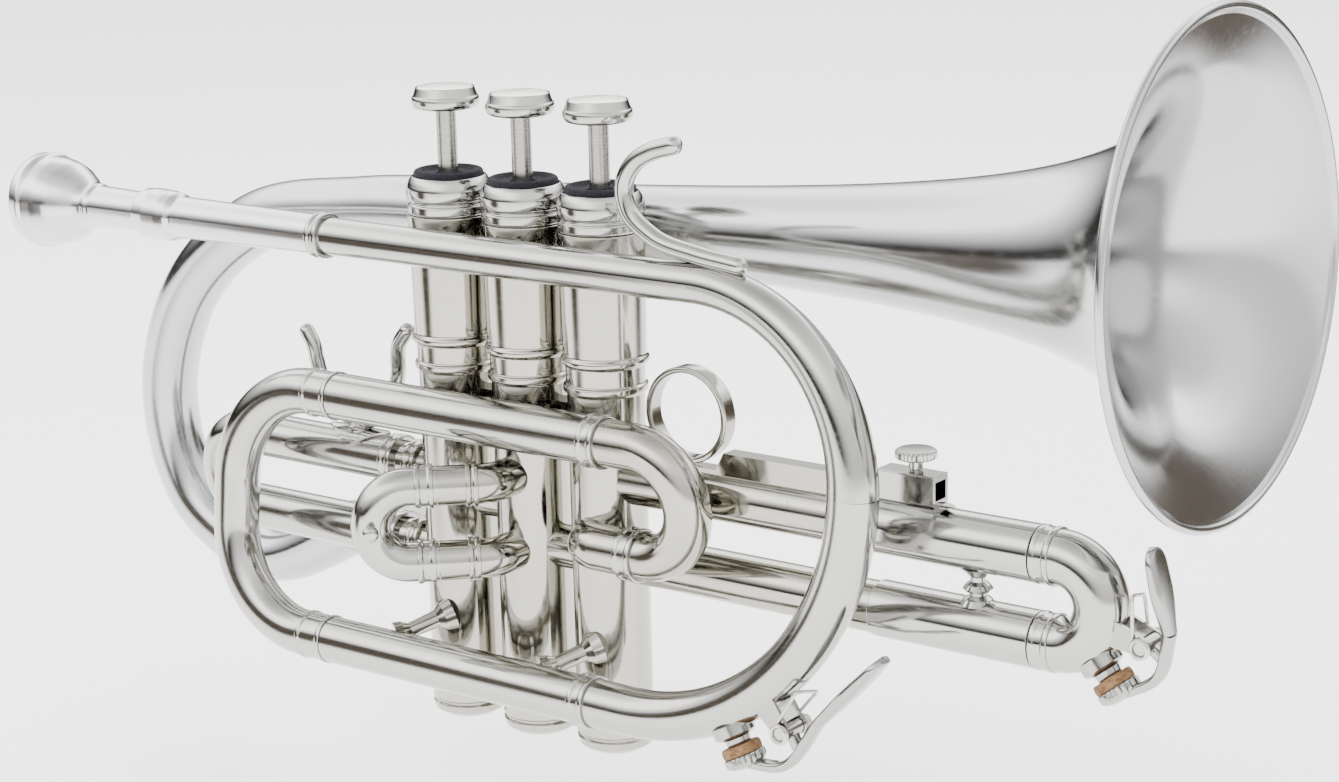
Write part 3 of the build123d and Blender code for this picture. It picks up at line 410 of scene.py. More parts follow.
def new_material(name, sockets=()):
    """Material with its node tree and its shader."""
    material = bpy.data.materials.new(name)
    material.use_nodes = True
    tree = material.node_tree
    shader = next(n for n in tree.nodes if n.type == "BSDF_PRINCIPLED")
    plug(tree, shader, sockets)
    return material, tree, shader


def object_place(tree):
    return add(tree, "TexCoord").outputs["Object"]


def noise(tree, where, scale, detail, **settings):
    return add(tree, "TexNoise", {"Vector": where}, Scale=scale, Detail=detail,
               **settings).outputs["Fac"]


def stretched(tree, where, scale):
    return add(tree, "Mapping", {"Vector": where}, Scale=scale).outputs["Vector"]


def calc(tree, operation, *values):
    return add(tree, "Math", dict(enumerate(values)), operation=operation).outputs[0]


def mixed(tree, factor, first, second, **settings):
    return add(tree, "Mix", {"Factor": factor, "A": first, "B": second},
               data_type="RGBA", **settings).outputs["Result"]


def spread(tree, source, low, high):
    """A value between 0 and 1 turned into one between low and high."""
    return add(tree, "MapRange", {"Value": source, "To Min": low, "To Max": high}
               ).outputs["Result"]


def bump(tree, height, strength, distance):
    return add(tree, "Bump", {"Height": height}, Strength=strength,
               Distance=distance).outputs["Normal"]


def ramp(tree, source, stops):
    node = add(tree, "ValToRGB", {"Fac": source})
    for element, stop in zip(node.color_ramp.elements, (stops[0], stops[-1])):
        element.position, element.color = stop
    for position, colour in stops[1:-1]:
        node.color_ramp.elements.new(position).color = colour
    return node.outputs["Color"]


def grey(value):
    return (value, value, value, 1.0)


def mask(tree, source, low, high):
    return ramp(tree, source, [(low, grey(0.0)), (high, grey(1.0))])


def plated(name, clean_colour, dull_colour, roughness, spots=0.5, scratches=0.25):
    """Polished plate: tarnish specks in clouds, hairline scratches and slightly wavy drawing."""
    material, tree, shader = new_material(name, {"Metallic": 1.0})
    where = object_place(tree)
    cloud = mask(tree, noise(tree, where, 38.0, 5.0, Roughness=0.6), 0.42, 0.72)
    speck = mask(tree, noise(tree, where, 520.0, 4.0, Roughness=0.7), 0.63, 0.73)
    dull = calc(tree, "MULTIPLY", calc(tree, "MULTIPLY", cloud, speck), spots)
    hair = noise(tree, stretched(tree, where, (0.06, 1.0, 1.0)), 900.0, 2.0, Roughness=0.5)
    worn = calc(tree, "MULTIPLY_ADD", mask(tree, hair, 0.5, 0.8), 0.25, dull)
    wave = noise(tree, where, 55.0, 1.0, Roughness=0.4)
    plug(tree, shader, {
        "Base Color": mixed(tree, dull, clean_colour, dull_colour),
        "Roughness": spread(tree, worn, roughness, roughness + scratches),
        "Normal": bump(tree, wave, 0.10, 0.0004)})
    return material


def turned_steel(name, colour, roughness):
    """Steel with fine turning lines round Z."""
    material, tree, shader = new_material(name, {"Metallic": 1.0})
    lines = noise(tree, stretched(tree, object_place(tree), (0.03, 0.03, 1.0)), 1500.0, 2.0)
    darker = [c * 0.86 for c in colour[:3]] + [1.0]
    plug(tree, shader, {
        "Base Color": ramp(tree, lines, [(0.35, darker), (0.65, colour)]),
        "Roughness": spread(tree, lines, roughness, roughness + 0.15),
        "Normal": bump(tree, lines, 0.15, 0.0001)})
    return material


def pearl_material():
    """Mother of pearl: soft bands of cream, grey and faint pink and green under a clear polish."""
    material, tree, shader = new_material("mother_of_pearl", {
        "Coat Weight": 0.6, "Coat Roughness": 0.06,
        "Subsurface Weight": 0.15, "Subsurface Scale": 0.001})
    where = object_place(tree)
    bend = noise(tree, where, 90.0, 3.0, Distortion=1.6)
    bands = add(tree, "TexWave", {"Vector": where}, Scale=55.0, Distortion=9.0,
                Detail=3.0).outputs["Fac"]
    base = ramp(tree, bend, [
        (0.3, (0.66, 0.62, 0.50, 1)), (0.45, (0.76, 0.73, 0.62, 1)),
        (0.55, (0.72, 0.67, 0.60, 1)), (0.7, (0.80, 0.78, 0.70, 1))])
    tint = ramp(tree, bands, [
        (0.2, (0.93, 0.90, 0.82, 1)), (0.5, (0.84, 0.87, 0.82, 1)), (0.8, (0.92, 0.84, 0.84, 1))])
    plug(tree, shader, {
        "Base Color": mixed(tree, 0.4, base, tint),
        "Roughness": spread(tree, bands, 0.16, 0.3),
        "Normal": bump(tree, bend, 0.12, 0.0002)})
    return material


def felt_material():
    """Black felt: matted fibres with a little grey fuzz."""
    material, tree, shader = new_material("black_felt", {
        "Roughness": 0.95, "Specular IOR Level": 0.15, "Sheen Weight": 0.06,
        "Sheen Roughness": 0.4})
    where = object_place(tree)
    fibre = noise(tree, where, 2600.0, 6.0, Roughness=0.75)
    height = calc(tree, "ADD", fibre, noise(tree, where, 500.0, 3.0))
    plug(tree, shader, {
        "Base Color": ramp(tree, fibre, [
            (0.35, (0.003, 0.003, 0.005, 1)), (0.7, (0.022, 0.022, 0.028, 1))]),
        "Normal": bump(tree, height, 0.8, 0.0004)})
    return material


def cork_material():
    """Natural cork: warm brown cells with dark pores."""
    material, tree, shader = new_material("natural_cork", {"Roughness": 0.85})
    where = object_place(tree)
    cells = add(tree, "TexVoronoi", {"Vector": where}, Scale=900.0).outputs["Distance"]
    base = ramp(tree, noise(tree, where, 420.0, 5.0, Roughness=0.7), [
        (0.3, (0.07, 0.032, 0.012, 1)), (0.5, (0.15, 0.078, 0.03, 1)),
        (0.7, (0.25, 0.14, 0.065, 1))])
    pores = ramp(tree, cells, [(0.12, (0.35, 0.22, 0.12, 1)), (0.5, grey(1.0))])
    plug(tree, shader, {
        "Base Color": mixed(tree, 0.6, base, pores, blend_type="MULTIPLY"),
        "Normal": bump(tree, cells, 0.6, 0.0003)})
    return material


# clean colour, tarnish colour, roughness
NICKEL = plated("polished_nickel", (0.43, 0.425, 0.405, 1), (0.22, 0.18, 0.135, 1), 0.11)
BELL_PLATE = plated("bell_nickel", (0.47, 0.472, 0.475, 1), (0.36, 0.34, 0.31, 1), 0.14,
                    spots=0.15)
VALVE_PLATE = plated("valve_nickel", (0.40, 0.39, 0.345, 1), (0.16, 0.115, 0.07, 1), 0.10,
                     spots=0.95)
SILVER = plated("mouthpiece_silver", (0.62, 0.625, 0.635, 1), (0.40, 0.38, 0.36, 1), 0.17,
                spots=0.2)
KEY_PLATE = plated("key_nickel", (0.36, 0.355, 0.34, 1), (0.16, 0.13, 0.10, 1), 0.15, spots=0.9)
STEM = turned_steel("stem_plate", (0.38, 0.37, 0.335, 1), 0.2)
HONED = turned_steel("honed_piston", (0.70, 0.69, 0.66, 1), 0.22)
WIRE = turned_steel("spring_wire", (0.62, 0.60, 0.56, 1), 0.25)
PEARL, FELT, CORK = pearl_material(), felt_material(), cork_material()

# ---- valve casings, caps, pistons
for number, x in enumerate(VALVE_X, start=1):
    outline = [
        (CASING_BOTTOM, BORE_R), (CASING_BOTTOM, FOOT_R), (FOOT_TOP, FOOT_R),
        (FOOT_TOP, CASING_R), (13.1, CASING_R), (13.5, CASING_R + 0.9), (15.1, CASING_R + 0.9),
        (15.5, CASING_R + 0.2), (20.2, CASING_R + 0.2), (20.8, BARREL_R + 0.3),
        (BARREL_BOTTOM, BARREL_R + 0.3), (BARREL_BOTTOM + 0.8, BARREL_R - 0.4),
        (BARREL_TOP, BARREL_R), (BARREL_TOP, NECK_R), (NECK_TOP, NECK_R), (NECK_TOP, BORE_R),
    ]
    casing = lathe(f"casing_{number}_shell", (x, 0, 0), Z, outline, segments=128, soft=0.4)
    dress(casing, BODY, VALVE_PLATE, f"valve_casing_{number}")

    stem = lathe(f"stem_{number}", (x, 0, 0), Z, offsets(PISTON_TOP, 0, [
        (5.0, 0), (5.0, STEM_R + 0.9), (7.0, STEM_R + 0.9), (7.4, STEM_R)]) + [
        (BUTTON_BOTTOM, STEM_R), (BUTTON_BOTTOM, 0)], segments=48)
    dress(stem, f"valve_{number}", STEM, f"valve_stem_{number}", slot="steel")

    button = lathe(f"button_{number}", (x, 0, 0), Z, [(BUTTON_BOTTOM, 0)] + offsets(
        BUTTON_BOTTOM, BUTTON_R, [(0, -3.0), (0.1, -1.1), (0.6, -0.2), (1.5, 0.2), (2.6, 0.2),
                                  (3.2, 0), (3.4, -0.25), (4.4, -0.6)]) + [
        (PEARL_EDGE, BUTTON_R - 1.0), (PEARL_EDGE + 0.1, 7.2), (PEARL_EDGE - 1.2, 7.2),
        (PEARL_EDGE - 1.2, 0)], soft=0.4)
    dress(button, f"valve_{number}", NICKEL, f"finger_button_{number}")

    pearl = lathe(f"pearl_{number}", (x, 0, 0), Z, offsets(PEARL_EDGE, 0, [
        (-1.2, 0), (-1.2, 7.15), (-0.05, 7.15), (0.2, 6.7), (0.4, 5.2), (0.52, 3.4), (0.58, 1.7),
        (0.6, 0)]), segments=72, soft=0.2)
    dress(pearl, f"valve_{number}", PEARL, f"pearl_inlay_{number}", slot="pearl")

SPRING_R, SPRING_WIRE, SPRING_TURNS, SPRING_SEAT, TURN_POINTS = 6.2, 0.55, 7, -43.5, 36
spring_low, spring_high = CASING_BOTTOM + SPRING_WIRE, SPRING_SEAT - SPRING_WIRE
for number, x in enumerate(VALVE_X, start=1):
    coil = []
    for k in range(SPRING_TURNS * TURN_POINTS + 1):
        turn = 2 * pi * k / TURN_POINTS
        rise = (spring_high - spring_low) * k / (SPRING_TURNS * TURN_POINTS)
        coil.append(Vector((x + SPRING_R * cos(turn), SPRING_R * sin(turn), spring_low + rise)))
    spring = tube(f"spring_{number}", coil, SPRING_WIRE, segments=16)
    dress(spring, BODY, WIRE, f"valve_spring_{number}", slot="spring_steel")
    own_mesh(spring)

places = [(x, 0, 0) for x in VALVE_X]
caps = lathes("top_caps", places, Z, [(BARREL_TOP, NECK_R)] + offsets(BARREL_TOP, CAP_R, [
    (0, -0.5), (0.5, 0), (2.6, 0), (3.0, -0.6), (3.6, -0.6), (4.0, 0), (5.4, 0.25), (7.0, 0.2),
    (8.6, -0.4), (9.7, -1.1), (9.9, -1.6)]) + [
    (CAP_TOP, CAP_R - 1.75), (CAP_TOP, CAP_HOLE_R), (NECK_TOP, CAP_HOLE_R), (NECK_TOP, NECK_R)],
    segments=128, soft=0.5)
dress(caps, BODY, NICKEL, "top_valve_caps")
felts = lathes("felts", places, Z, offsets(CAP_TOP, 0, [
    (0, 3.3), (0, 9.0), (1.7, 9.05), (2.4, 8.9), (2.8, 8.3), (2.7, 7.6), (1.7, 6.2), (1.6, 3.3)]),
    soft=0.5)
dress(felts, BODY, FELT, "cap_felts", slot="felt")
bottom_caps = lathes("bottom_caps", places, Z, [(FOOT_TOP, FOOT_R)] + offsets(
    FOOT_TOP, BOTTOM_CAP_R, [(0, -0.4), (-0.5, 0), (-3.4, 0), (-3.8, -0.5), (-4.4, -0.5),
                             (-4.8, 0)]) + [
    (BOTTOM_CAP_END + 2.4, BOTTOM_CAP_R - 0.4), (BOTTOM_CAP_END + 0.9, BOTTOM_CAP_R - 2.6),
    (BOTTOM_CAP_END + 0.2, 3.4), (BOTTOM_CAP_END, 3.0), (BOTTOM_CAP_END, 1.5),
    (CASING_BOTTOM, 1.5), (CASING_BOTTOM, FOOT_R)], segments=128, soft=0.35)
dress(bottom_caps, BODY, VALVE_PLATE, "bottom_valve_caps")

# ---- bell, crook and tail
BELL_STEPS, BEAD_BACK = 90, 0.3
spots = [BELL_LENGTH * (1 - k / BELL_STEPS) ** 2.0 for k in range(BELL_STEPS + 1)]
outline = [(-spot, flare(spot)) for spot in spots]
bead_middle = BELL_R - RIM_BEAD_R
bead = [(-BEAD_BACK + RIM_BEAD_R * sin(t), bead_middle + RIM_BEAD_R * cos(t))
        for t in [radians(a) for a in range(-60, 176, 12)]]
outline = [p for p in outline if p[1] < bead_middle - 0.1] + bead
inner = [(-spot, flare(spot) - BELL_WALL) for spot in reversed(spots)]
outline += [p for p in inner if p[1] < bead_middle - 1.4 * RIM_BEAD_R]
bell = lathe("bell_skin", bell_point(0), BELL_DIR, outline, segments=256, soft=0.05)
dress(bell, BODY, BELL_PLATE, "bell")

crook_end = Vector((CROOK_END[0], BELL_Y, CROOK_END[1]))
tail_turn = Vector(TAIL_TURN)
tail_run = (tail_turn - crook_end).normalized()
crook_path = spline_points([bell_point(BELL_LENGTH)] + [(x, BELL_Y, z) for x, z in CROOK_SPOTS]
                           + [crook_end], -BELL_DIR, tail_run, per_span=18)
crook = tube("crook_tube", crook_path, (flare(BELL_LENGTH), CROOK_TAIL_R),
             (flare(BELL_LENGTH) - WALL, CROOK_TAIL_R - WALL), segments=96)
dress(crook, BODY, BELL_PLATE, "bell_crook")

tail_path = fillet_path([crook_end, tail_turn, (VALVE_X[0], 0, TAIL_TURN[2])], TAIL_BEND, 1.0)
while (Vector((tail_path[-1].x - VALVE_X[0], tail_path[-1].y))).length < CASING_R + 1:
    tail_path.pop()
end_way = (Vector((VALVE_X[0], 0, TAIL_TURN[2])) - tail_path[-1]).normalized()
tail_path.append(reach_casing(tail_path[-1], end_way, VALVE_X[0], CASING_R + 0.2))
tail = tube("tail_tube", tail_path, TAIL_R, TAIL_R - WALL, segments=64, trim=(VALVE_X[0], -1))
dress(tail, BODY, NICKEL, "tail_pipe")

# ---- mouthpiece, mouthpipe and front bow
mouth_start = (RECEIVER_X[0] - 43.4, LEAD_Y, LEAD_Z)
mouthpiece = lathe("mouthpiece_body", mouth_start, X, [
    (20.0, 1.9), (16.5, 3.6), (13.0, 6.0), (8.0, 7.6), (3.0, 8.2), (1.0, 8.7), (0.2, 9.8),
    (0, 11.0), (0.4, 12.3), (1.6, 13.3), (4.6, 13.5), (5.6, 12.7), (9.5, 12.3), (13.5, 11.2),
    (17.5, 8.8), (20.5, 6.7), (22.5, 6.0), (24.0, 6.4), (25.2, 5.85), (43.4, 5.46),
    (63.4, 4.94), (63.4, 4.1), (26.0, 1.9)], segments=128, soft=1.2)
dress(mouthpiece, "mouthpiece", SILVER, "mouthpiece", slot="mouthpiece_plate")
receiver = lathe("receiver", (RECEIVER_X[0], LEAD_Y, LEAD_Z), X, [
    (0, 5.5), (0, 6.3), (0.6, 6.8), (4.5, 7.1), (9.5, 6.9), (12.5, 6.5), (13.4, 5.9),
    (14.1, 5.65), (64.2, 5.35), (64.2, LEAD_R), (23.0, LEAD_R), (23.0, 4.9)], soft=0.6)
dress(receiver, BODY, SILVER, "mouthpiece_receiver")

front_top = Vector((FRONT_BOW_X, LEAD_Y, LEAD_Z))
bow_tilt = atan2(LEAD_Y - LOWER_LEG[0], LEAD_Z - LOWER_LEG[1])
front_drop = (LEAD_Z - LOWER_LEG[1]) / cos(bow_tilt)
front_low_bend = front_drop - FRONT_TOP_BEND
down = Vector((0, -sin(bow_tilt), -cos(bow_tilt)))
front_back = front_top + X * FRONT_TOP_BEND + down * FRONT_TOP_BEND
front_low = front_top + X * (FRONT_TOP_BEND - front_low_bend) + down * front_drop
lead = tube("lead_tube", [(RECEIVER_X[0] + 23.0, LEAD_Y, LEAD_Z), front_top], LEAD_R,
            LEAD_R - WALL)
dress(lead, BODY, NICKEL, "leadpipe")
upper_arc = arc_points(front_top + down * FRONT_TOP_BEND, -down * FRONT_TOP_BEND, X, pi / 2, 48)
low_centre = front_back - X * front_low_bend
lower_arc = arc_points(low_centre, X * front_low_bend, down, pi / 2, 56)
upper_bow = tube_data(upper_arc, (LEAD_R, BOW_R), (LEAD_R - WALL, BOW_R - WALL))
lower_bow = tube_data(lower_arc + [Vector((LEG_FRONT_X, *LOWER_LEG))], BOW_R, BOW_R - WALL)
front_bow = merged("front_bow_tube", [upper_bow, lower_bow])
dress(front_bow, BODY, NICKEL, "front_bow")

hook_path = spline_points([(78, LEAD_Y, 53.2), (66, LEAD_Y, 54.6), (53.0, LEAD_Y, 57.8),
                           (46.2, LEAD_Y, 63.4), (45.0, LEAD_Y, 69.5), (48.3, LEAD_Y, 75.2),
                           (53.8, LEAD_Y, 78.4), (60.0, LEAD_Y, 80.2)])
hook = tube("hook_rod", hook_path, HOOK_R, segments=40)
dress(hook, BODY, NICKEL, "pinky_hook")

# ---- main tuning slide and inlet bend
outer_legs = merged("outer_legs", [
    tube_data([(TUNING_SEAM_X, *leg), (LEG_FRONT_X, *leg)], LEG_R, INNER_LEG_R + FIT)
    for leg in LEGS])
dress(outer_legs, BODY, NICKEL, "outer_tuning_legs")
slide_legs = merged("slide_legs", [
    tube_data([(TUNING_BOW_X, *leg), (LEG_FRONT_X - 22, *leg)], INNER_LEG_R,
              INNER_LEG_R - SLIDE_WALL)
    for leg in LEGS])
dress(slide_legs, "main_tuning_slide", NICKEL, "tuning_slide_legs")
bow_path = fillet_path([(TUNING_BOW_X, *UPPER_LEG), (TUNING_BOW_BACK, *UPPER_LEG),
                        (TUNING_BOW_BACK, *LOWER_LEG), (TUNING_BOW_X, *LOWER_LEG)],
                       TUNING_BEND, 1.0)
shapes = [tube_data(bow_path, BOW_R, BOW_R - WALL)]
for leg in LEGS:
    middle = ((TUNING_BOW_X + TUNING_SEAM_X) / 2 - 0.2, *leg)
    shapes.append(ring_data(middle, X, TUNING_SEAM_X - TUNING_BOW_X, LEG_R, INNER_LEG_R))
dress(merged("tuning_bow", shapes), "main_tuning_slide", NICKEL, "tuning_slide_bow")

upper, lower = Vector((INLET_BEND_X, *UPPER_LEG)), Vector((INLET_BEND_X, *INLET_LEG))
half = (upper - lower) / 2
inlet = [Vector((LEG_FRONT_X, *UPPER_LEG))]
inlet += arc_points((upper + lower) / 2, half, X, pi, 56)
elbow = fillet_path([lower, (VALVE_X[2], *INLET_LEG), (VALVE_X[2], 0, INLET_LEG[1])],
                    INLET_ELBOW, 0.6)
inlet += elbow[1:-1] + [Vector((VALVE_X[2], -CASING_R - 0.05, INLET_LEG[1]))]
inlet_piece = tube("inlet_tube", [p for p in inlet if p.y < -CASING_R], BOW_R - 0.15, BOW_R - WALL,
                   trim=(VALVE_X[2], -1))
dress(inlet_piece, BODY, VALVE_PLATE, "inlet_bend")

sleeve = [(0.0, TAIL_R), (0.0, CROOK_TAIL_R), (0.6, CROOK_TAIL_R + 0.3), (2.0, CROOK_TAIL_R + 0.3),
          (2.6, CROOK_TAIL_R), (7.0, TAIL_R + 0.8), (8.6, TAIL_R + 0.8), (9.0, TAIL_R + 0.4),
          (9.0, TAIL_R)]
ferrules = merged("ferrules", [
    ring_data((RECEIVER_X[1] + 1.9, LEAD_Y, LEAD_Z), X, 3.8, LEAD_R + 0.7, LEAD_R),
    ring_data((LEG_FRONT_X + 2.4, *LOWER_LEG), X, 4.8, LEG_R + 0.35, BOW_R),
    ring_data((LEG_FRONT_X + 2.4, *UPPER_LEG), X, 4.8, LEG_R + 0.3, BOW_R - 0.15),
    ring_data((INLET_BEND_X - 3.4, *INLET_LEG), X, 5.0, LEG_R + 0.3, BOW_R - 0.15),
    ring_data(bell_point(BELL_LENGTH), BELL_DIR, 8.0, flare(BELL_LENGTH) + 0.7,
              flare(BELL_LENGTH - 4.0) + 0.01),
    lathe_data(crook_end, tail_run, sleeve, soft=0.4)])
dress(ferrules, BODY, NICKEL, "tube_ferrules")

# ---- first slide and thumb saddle
shapes = []
for z in FIRST_Z:
    shapes.append(tube_data([(VALVE_X[0] - CASING_R - 0.05, 0, z), (FIRST_SEAM_X - 32, 0, z)],
                            FIRST_INNER_R, FIRST_INNER_R - SLIDE_WALL, segments=64,
                            trim=(VALVE_X[0], 0)))
    shapes.append(ring_data((FIRST_SEAM_X + 6.0, 0, z), X, 4.0, FIRST_OUTER_R - 0.2,
                            FIRST_INNER_R))
dress(merged("first_fixed_tubes", shapes), BODY, VALVE_PLATE, "first_fixed_legs")
shapes = []
for z in FIRST_Z:
    shapes.append(tube_data([(FIRST_SEAM_X, 0, z), (FIRST_BOW_X + 2.0, 0, z)], FIRST_OUTER_R,
                            FIRST_INNER_R + FIT))
    shapes.append(ring_data((FIRST_SEAM_X - 2.0, 0, z), X, 4.0, FIRST_OUTER_R + 0.3,
                            FIRST_OUTER_R))
dress(merged("first_slide_tubes", shapes), "first_slide", NICKEL, "first_slide_legs")


def u_bend(end_x, straight_x, heights, way):
    """Path of a U bend between two level legs, opening against way."""
    middle, radius = (heights[0] + heights[1]) / 2, (heights[0] - heights[1]) / 2
    bend = arc_points((end_x, 0, middle), Z * radius, X * way, pi, 56)
    return [Vector((straight_x, 0, heights[0]))] + bend + [Vector((straight_x, 0, heights[1]))]


first_bow = tube("first_bow_tube", u_bend(FIRST_BOW_X, FIRST_BOW_X + 2.0, FIRST_Z, -1),
                 FIRST_OUTER_R - 0.05, FIRST_OUTER_R - WALL)
dress(first_bow, "first_slide", NICKEL, "first_slide_bow")

SADDLE_HALF, SADDLE_ROD = 14.75, 2.1
seat_z = FIRST_Z[0] + FIRST_OUTER_R + SADDLE_ROD + 0.5
middle = seat_z + SADDLE_HALF
diagonal = SADDLE_HALF * cos(radians(45))
saddle_path = spline_points([
    (SADDLE_X - 18.0, 0, middle + 8.0), (SADDLE_X - 15.8, 0, middle + 4.4),
    (SADDLE_X - SADDLE_HALF, 0, middle), (SADDLE_X - diagonal, 0, middle - diagonal),
    (SADDLE_X, 0, seat_z), (SADDLE_X + diagonal, 0, middle - diagonal),
    (SADDLE_X + SADDLE_HALF, 0, middle), (SADDLE_X + 15.6, 0, middle + 8.4),
    (SADDLE_X + 18.6, 0, middle + 12.4)])
top = FIRST_OUTER_R
post = [(top, 0), (top, 3.6), (top + 1.4, 3.3), (top + 3.0, 1.7), (top + 3.0, 0)]


def saddle_plate(centre_x, centre_z, radius, half_length, half_width, thickness):
    """Diamond plate bent over the top of a level tube."""
    points, rings, count, columns = [], [], 24, 8
    for k in range(count + 1):
        along = -half_length + 2 * half_length * k / count
        width = half_width * (1 - abs(along) / half_length) + 0.02
        sides = [width * s / columns for s in range(-columns, columns + 1)]
        append_ring(points, rings, [
            Vector((centre_x + along, r * sin(side / radius), centre_z + r * cos(side / radius)))
            for r, row in ((radius, sides[::-1]), (radius + thickness, sides)) for side in row])
    return points, join_capped(rings)


saddle = merged("saddle_rod", [
    tube_data(saddle_path, SADDLE_ROD, segments=36),
    lathe_data((SADDLE_X, 0, FIRST_Z[0]), Z, post, soft=0.5, segments=48),
    saddle_plate(SADDLE_X, FIRST_Z[0], FIRST_OUTER_R + 0.02, 11.0, 7.0, 0.88)])
dress(saddle, "first_slide", NICKEL, "first_slide_saddle")

# ---- second slide
turn = radians(90 - SECOND_ANGLE)
elbow_start = Vector((0.0, -CASING_R - SECOND_STANDOFF, 0))
elbow_end = elbow_start + Vector((-SECOND_ELBOW * (1 - cos(turn)), -SECOND_ELBOW * sin(turn), 0))


def second_point(along, z):
    return elbow_end + SECOND_DIR * along + Z * z


fixed, sliding, bow_shapes = [], [], []
for z in SECOND_Z:
    start = Vector((0, -CASING_R - 0.05, z))
    centre = Vector((-SECOND_ELBOW, elbow_start.y, z))
    path = [start] + arc_points(centre, X * SECOND_ELBOW, -Y, turn, 24)
    path.append(second_point(SECOND_SLEEVE, z))
    fixed.append(tube_data(path, SECOND_R, SECOND_R - 0.9, segments=72, trim=(0.0, 0)))
    fixed.append(ring_data(second_point(1.6, z), SECOND_DIR, 3.2, SECOND_R + 0.35, SECOND_R))
    sliding.append(tube_data([second_point(0.9, z), second_point(SECOND_SLEEVE + 0.2, z)],
                             SECOND_R - 0.95, SECOND_R - 1.5, segments=64))
    bow_shapes.append(ring_data(second_point(SECOND_SLEEVE + 3.3, z), SECOND_DIR, 4.8,
                                SECOND_R + 0.3, SECOND_R - 0.6))
dress(merged("second_fixed_tubes", fixed), BODY, VALVE_PLATE, "second_fixed_legs")
dress(merged("second_slide_tubes", sliding), "second_slide", NICKEL, "second_slide_legs")
knob_z, bow_half = (SECOND_Z[0] + SECOND_Z[1]) / 2, (SECOND_Z[0] - SECOND_Z[1]) / 2
bend = arc_points(second_point(SECOND_LENGTH, knob_z), Z * bow_half, SECOND_DIR, pi, 48)
path = [second_point(SECOND_SLEEVE + 0.2, SECOND_Z[0])] + bend
path.append(second_point(SECOND_SLEEVE + 0.2, SECOND_Z[1]))
outward = Vector((-SECOND_DIR.y, SECOND_DIR.x, 0))
knob_root = second_point(SECOND_LENGTH + bow_half, knob_z) + outward * (SECOND_R - 0.5)
bow_shapes.append(tube_data(path, SECOND_R, SECOND_R - 1.2, segments=72))
bow_shapes.append(lathe_data(knob_root, outward, [
    (0, 0), (0, 1.7), (0.9, 1.3), (1.4, 1.8), (2.2, 2.2), (3.2, 2.1), (3.9, 1.4), (4.1, 0.0)],
    segments=48, soft=0.4))
dress(merged("second_bow", bow_shapes), "second_slide", NICKEL, "second_slide_bow")

# ---- third slide
dress(merged("third_fixed_tubes", [
    tube_data([(VALVE_X[2] + CASING_R + 0.05, 0, z), (THIRD_SEAM_X, 0, z)], THIRD_KNUCKLE_R,
              THIRD_INNER_R + 0.2, trim=(VALVE_X[2], 0))
    for z in THIRD_Z]), BODY, VALVE_PLATE, "third_fixed_legs")
dress(merged("third_outer_tubes", [
    lathe_data((THIRD_SEAM_X, 0, z), X, [
        (0, THIRD_INNER_R + FIT), (0, THIRD_R), (THIRD_END_X - 2.6 - THIRD_SEAM_X, THIRD_R),
        (THIRD_END_X - 2.6 - THIRD_SEAM_X, THIRD_INNER_R + FIT)], soft=0.25)
    for z in THIRD_Z]), BODY, NICKEL, "third_outer_legs")
dress(merged("third_slide_tubes", [
    tube_data([(THIRD_SEAM_X + 1.0, 0, z), (THIRD_END_X, 0, z)], THIRD_INNER_R,
              THIRD_INNER_R - SLIDE_WALL) for z in THIRD_Z]),
    "third_slide", NICKEL, "third_slide_legs")
shapes = [tube_data(u_bend(THIRD_BOW_X, THIRD_END_X, THIRD_Z, 1), THIRD_BOW_R, THIRD_BOW_R - 1.2)]
for z in THIRD_Z:
    shapes.append(ring_data((THIRD_END_X + 0.1, 0, z), X, 4.8, THIRD_R - 0.1, THIRD_INNER_R,
                            bead=0.2))
dress(merged("third_bow", shapes), "third_slide", NICKEL, "third_slide_bow")

RING_X, RING_Z = 51.1, 10.4
hoop = lathe("hoop", (RING_X, -2.4, RING_Z), Y, [(0, 10.6), (0, 12.2), (4.8, 12.2), (4.8, 10.6)],
             segments=128, soft=0.6)
dress(hoop, BODY, VALVE_PLATE, "finger_ring")

screw = lathe("lyre_screw_head", (116.4, 0, 0), Z, [
    (4.3, 0), (4.3, 1.2), (4.7, 1.55), (5.8, 1.55), (6.2, 1.75), (8.2, 1.75), (8.6, 4.6),
    (9.0, 5.0), (10.3, 5.0), (10.8, 4.4), (10.8, 0)], soft=0.15, flutes=(8.7, 10.6, 30, 0.3))
dress(screw, "lyre_screw", NICKEL, "lyre_thumbscrew")

# ---- water keys
EAR_GAP, EAR_THICK, PIN_R, NIPPLE, CORK_THICK, CUP_R = 2.9, 0.9, 0.95, 3.4, 2.4, 5.3
BAR_THICK, BLADE_ROOT_WIDTH = 2.6, 4.3


class WaterKey:
    """Places of one water key on the outside of a bend."""

    def __init__(self, centre, skin, y, cork_angle, pivot):
        angle = radians(cork_angle)
        self.y, self.pivot = y, Vector(pivot)
        self.out = Vector((cos(angle), 0, sin(angle)))
        self.cork = Vector((centre[0], y, centre[1])) + self.out * (skin + NIPPLE)


def soft_square(value, power):
    return abs(value) ** power * (1 if value >= 0 else -1)


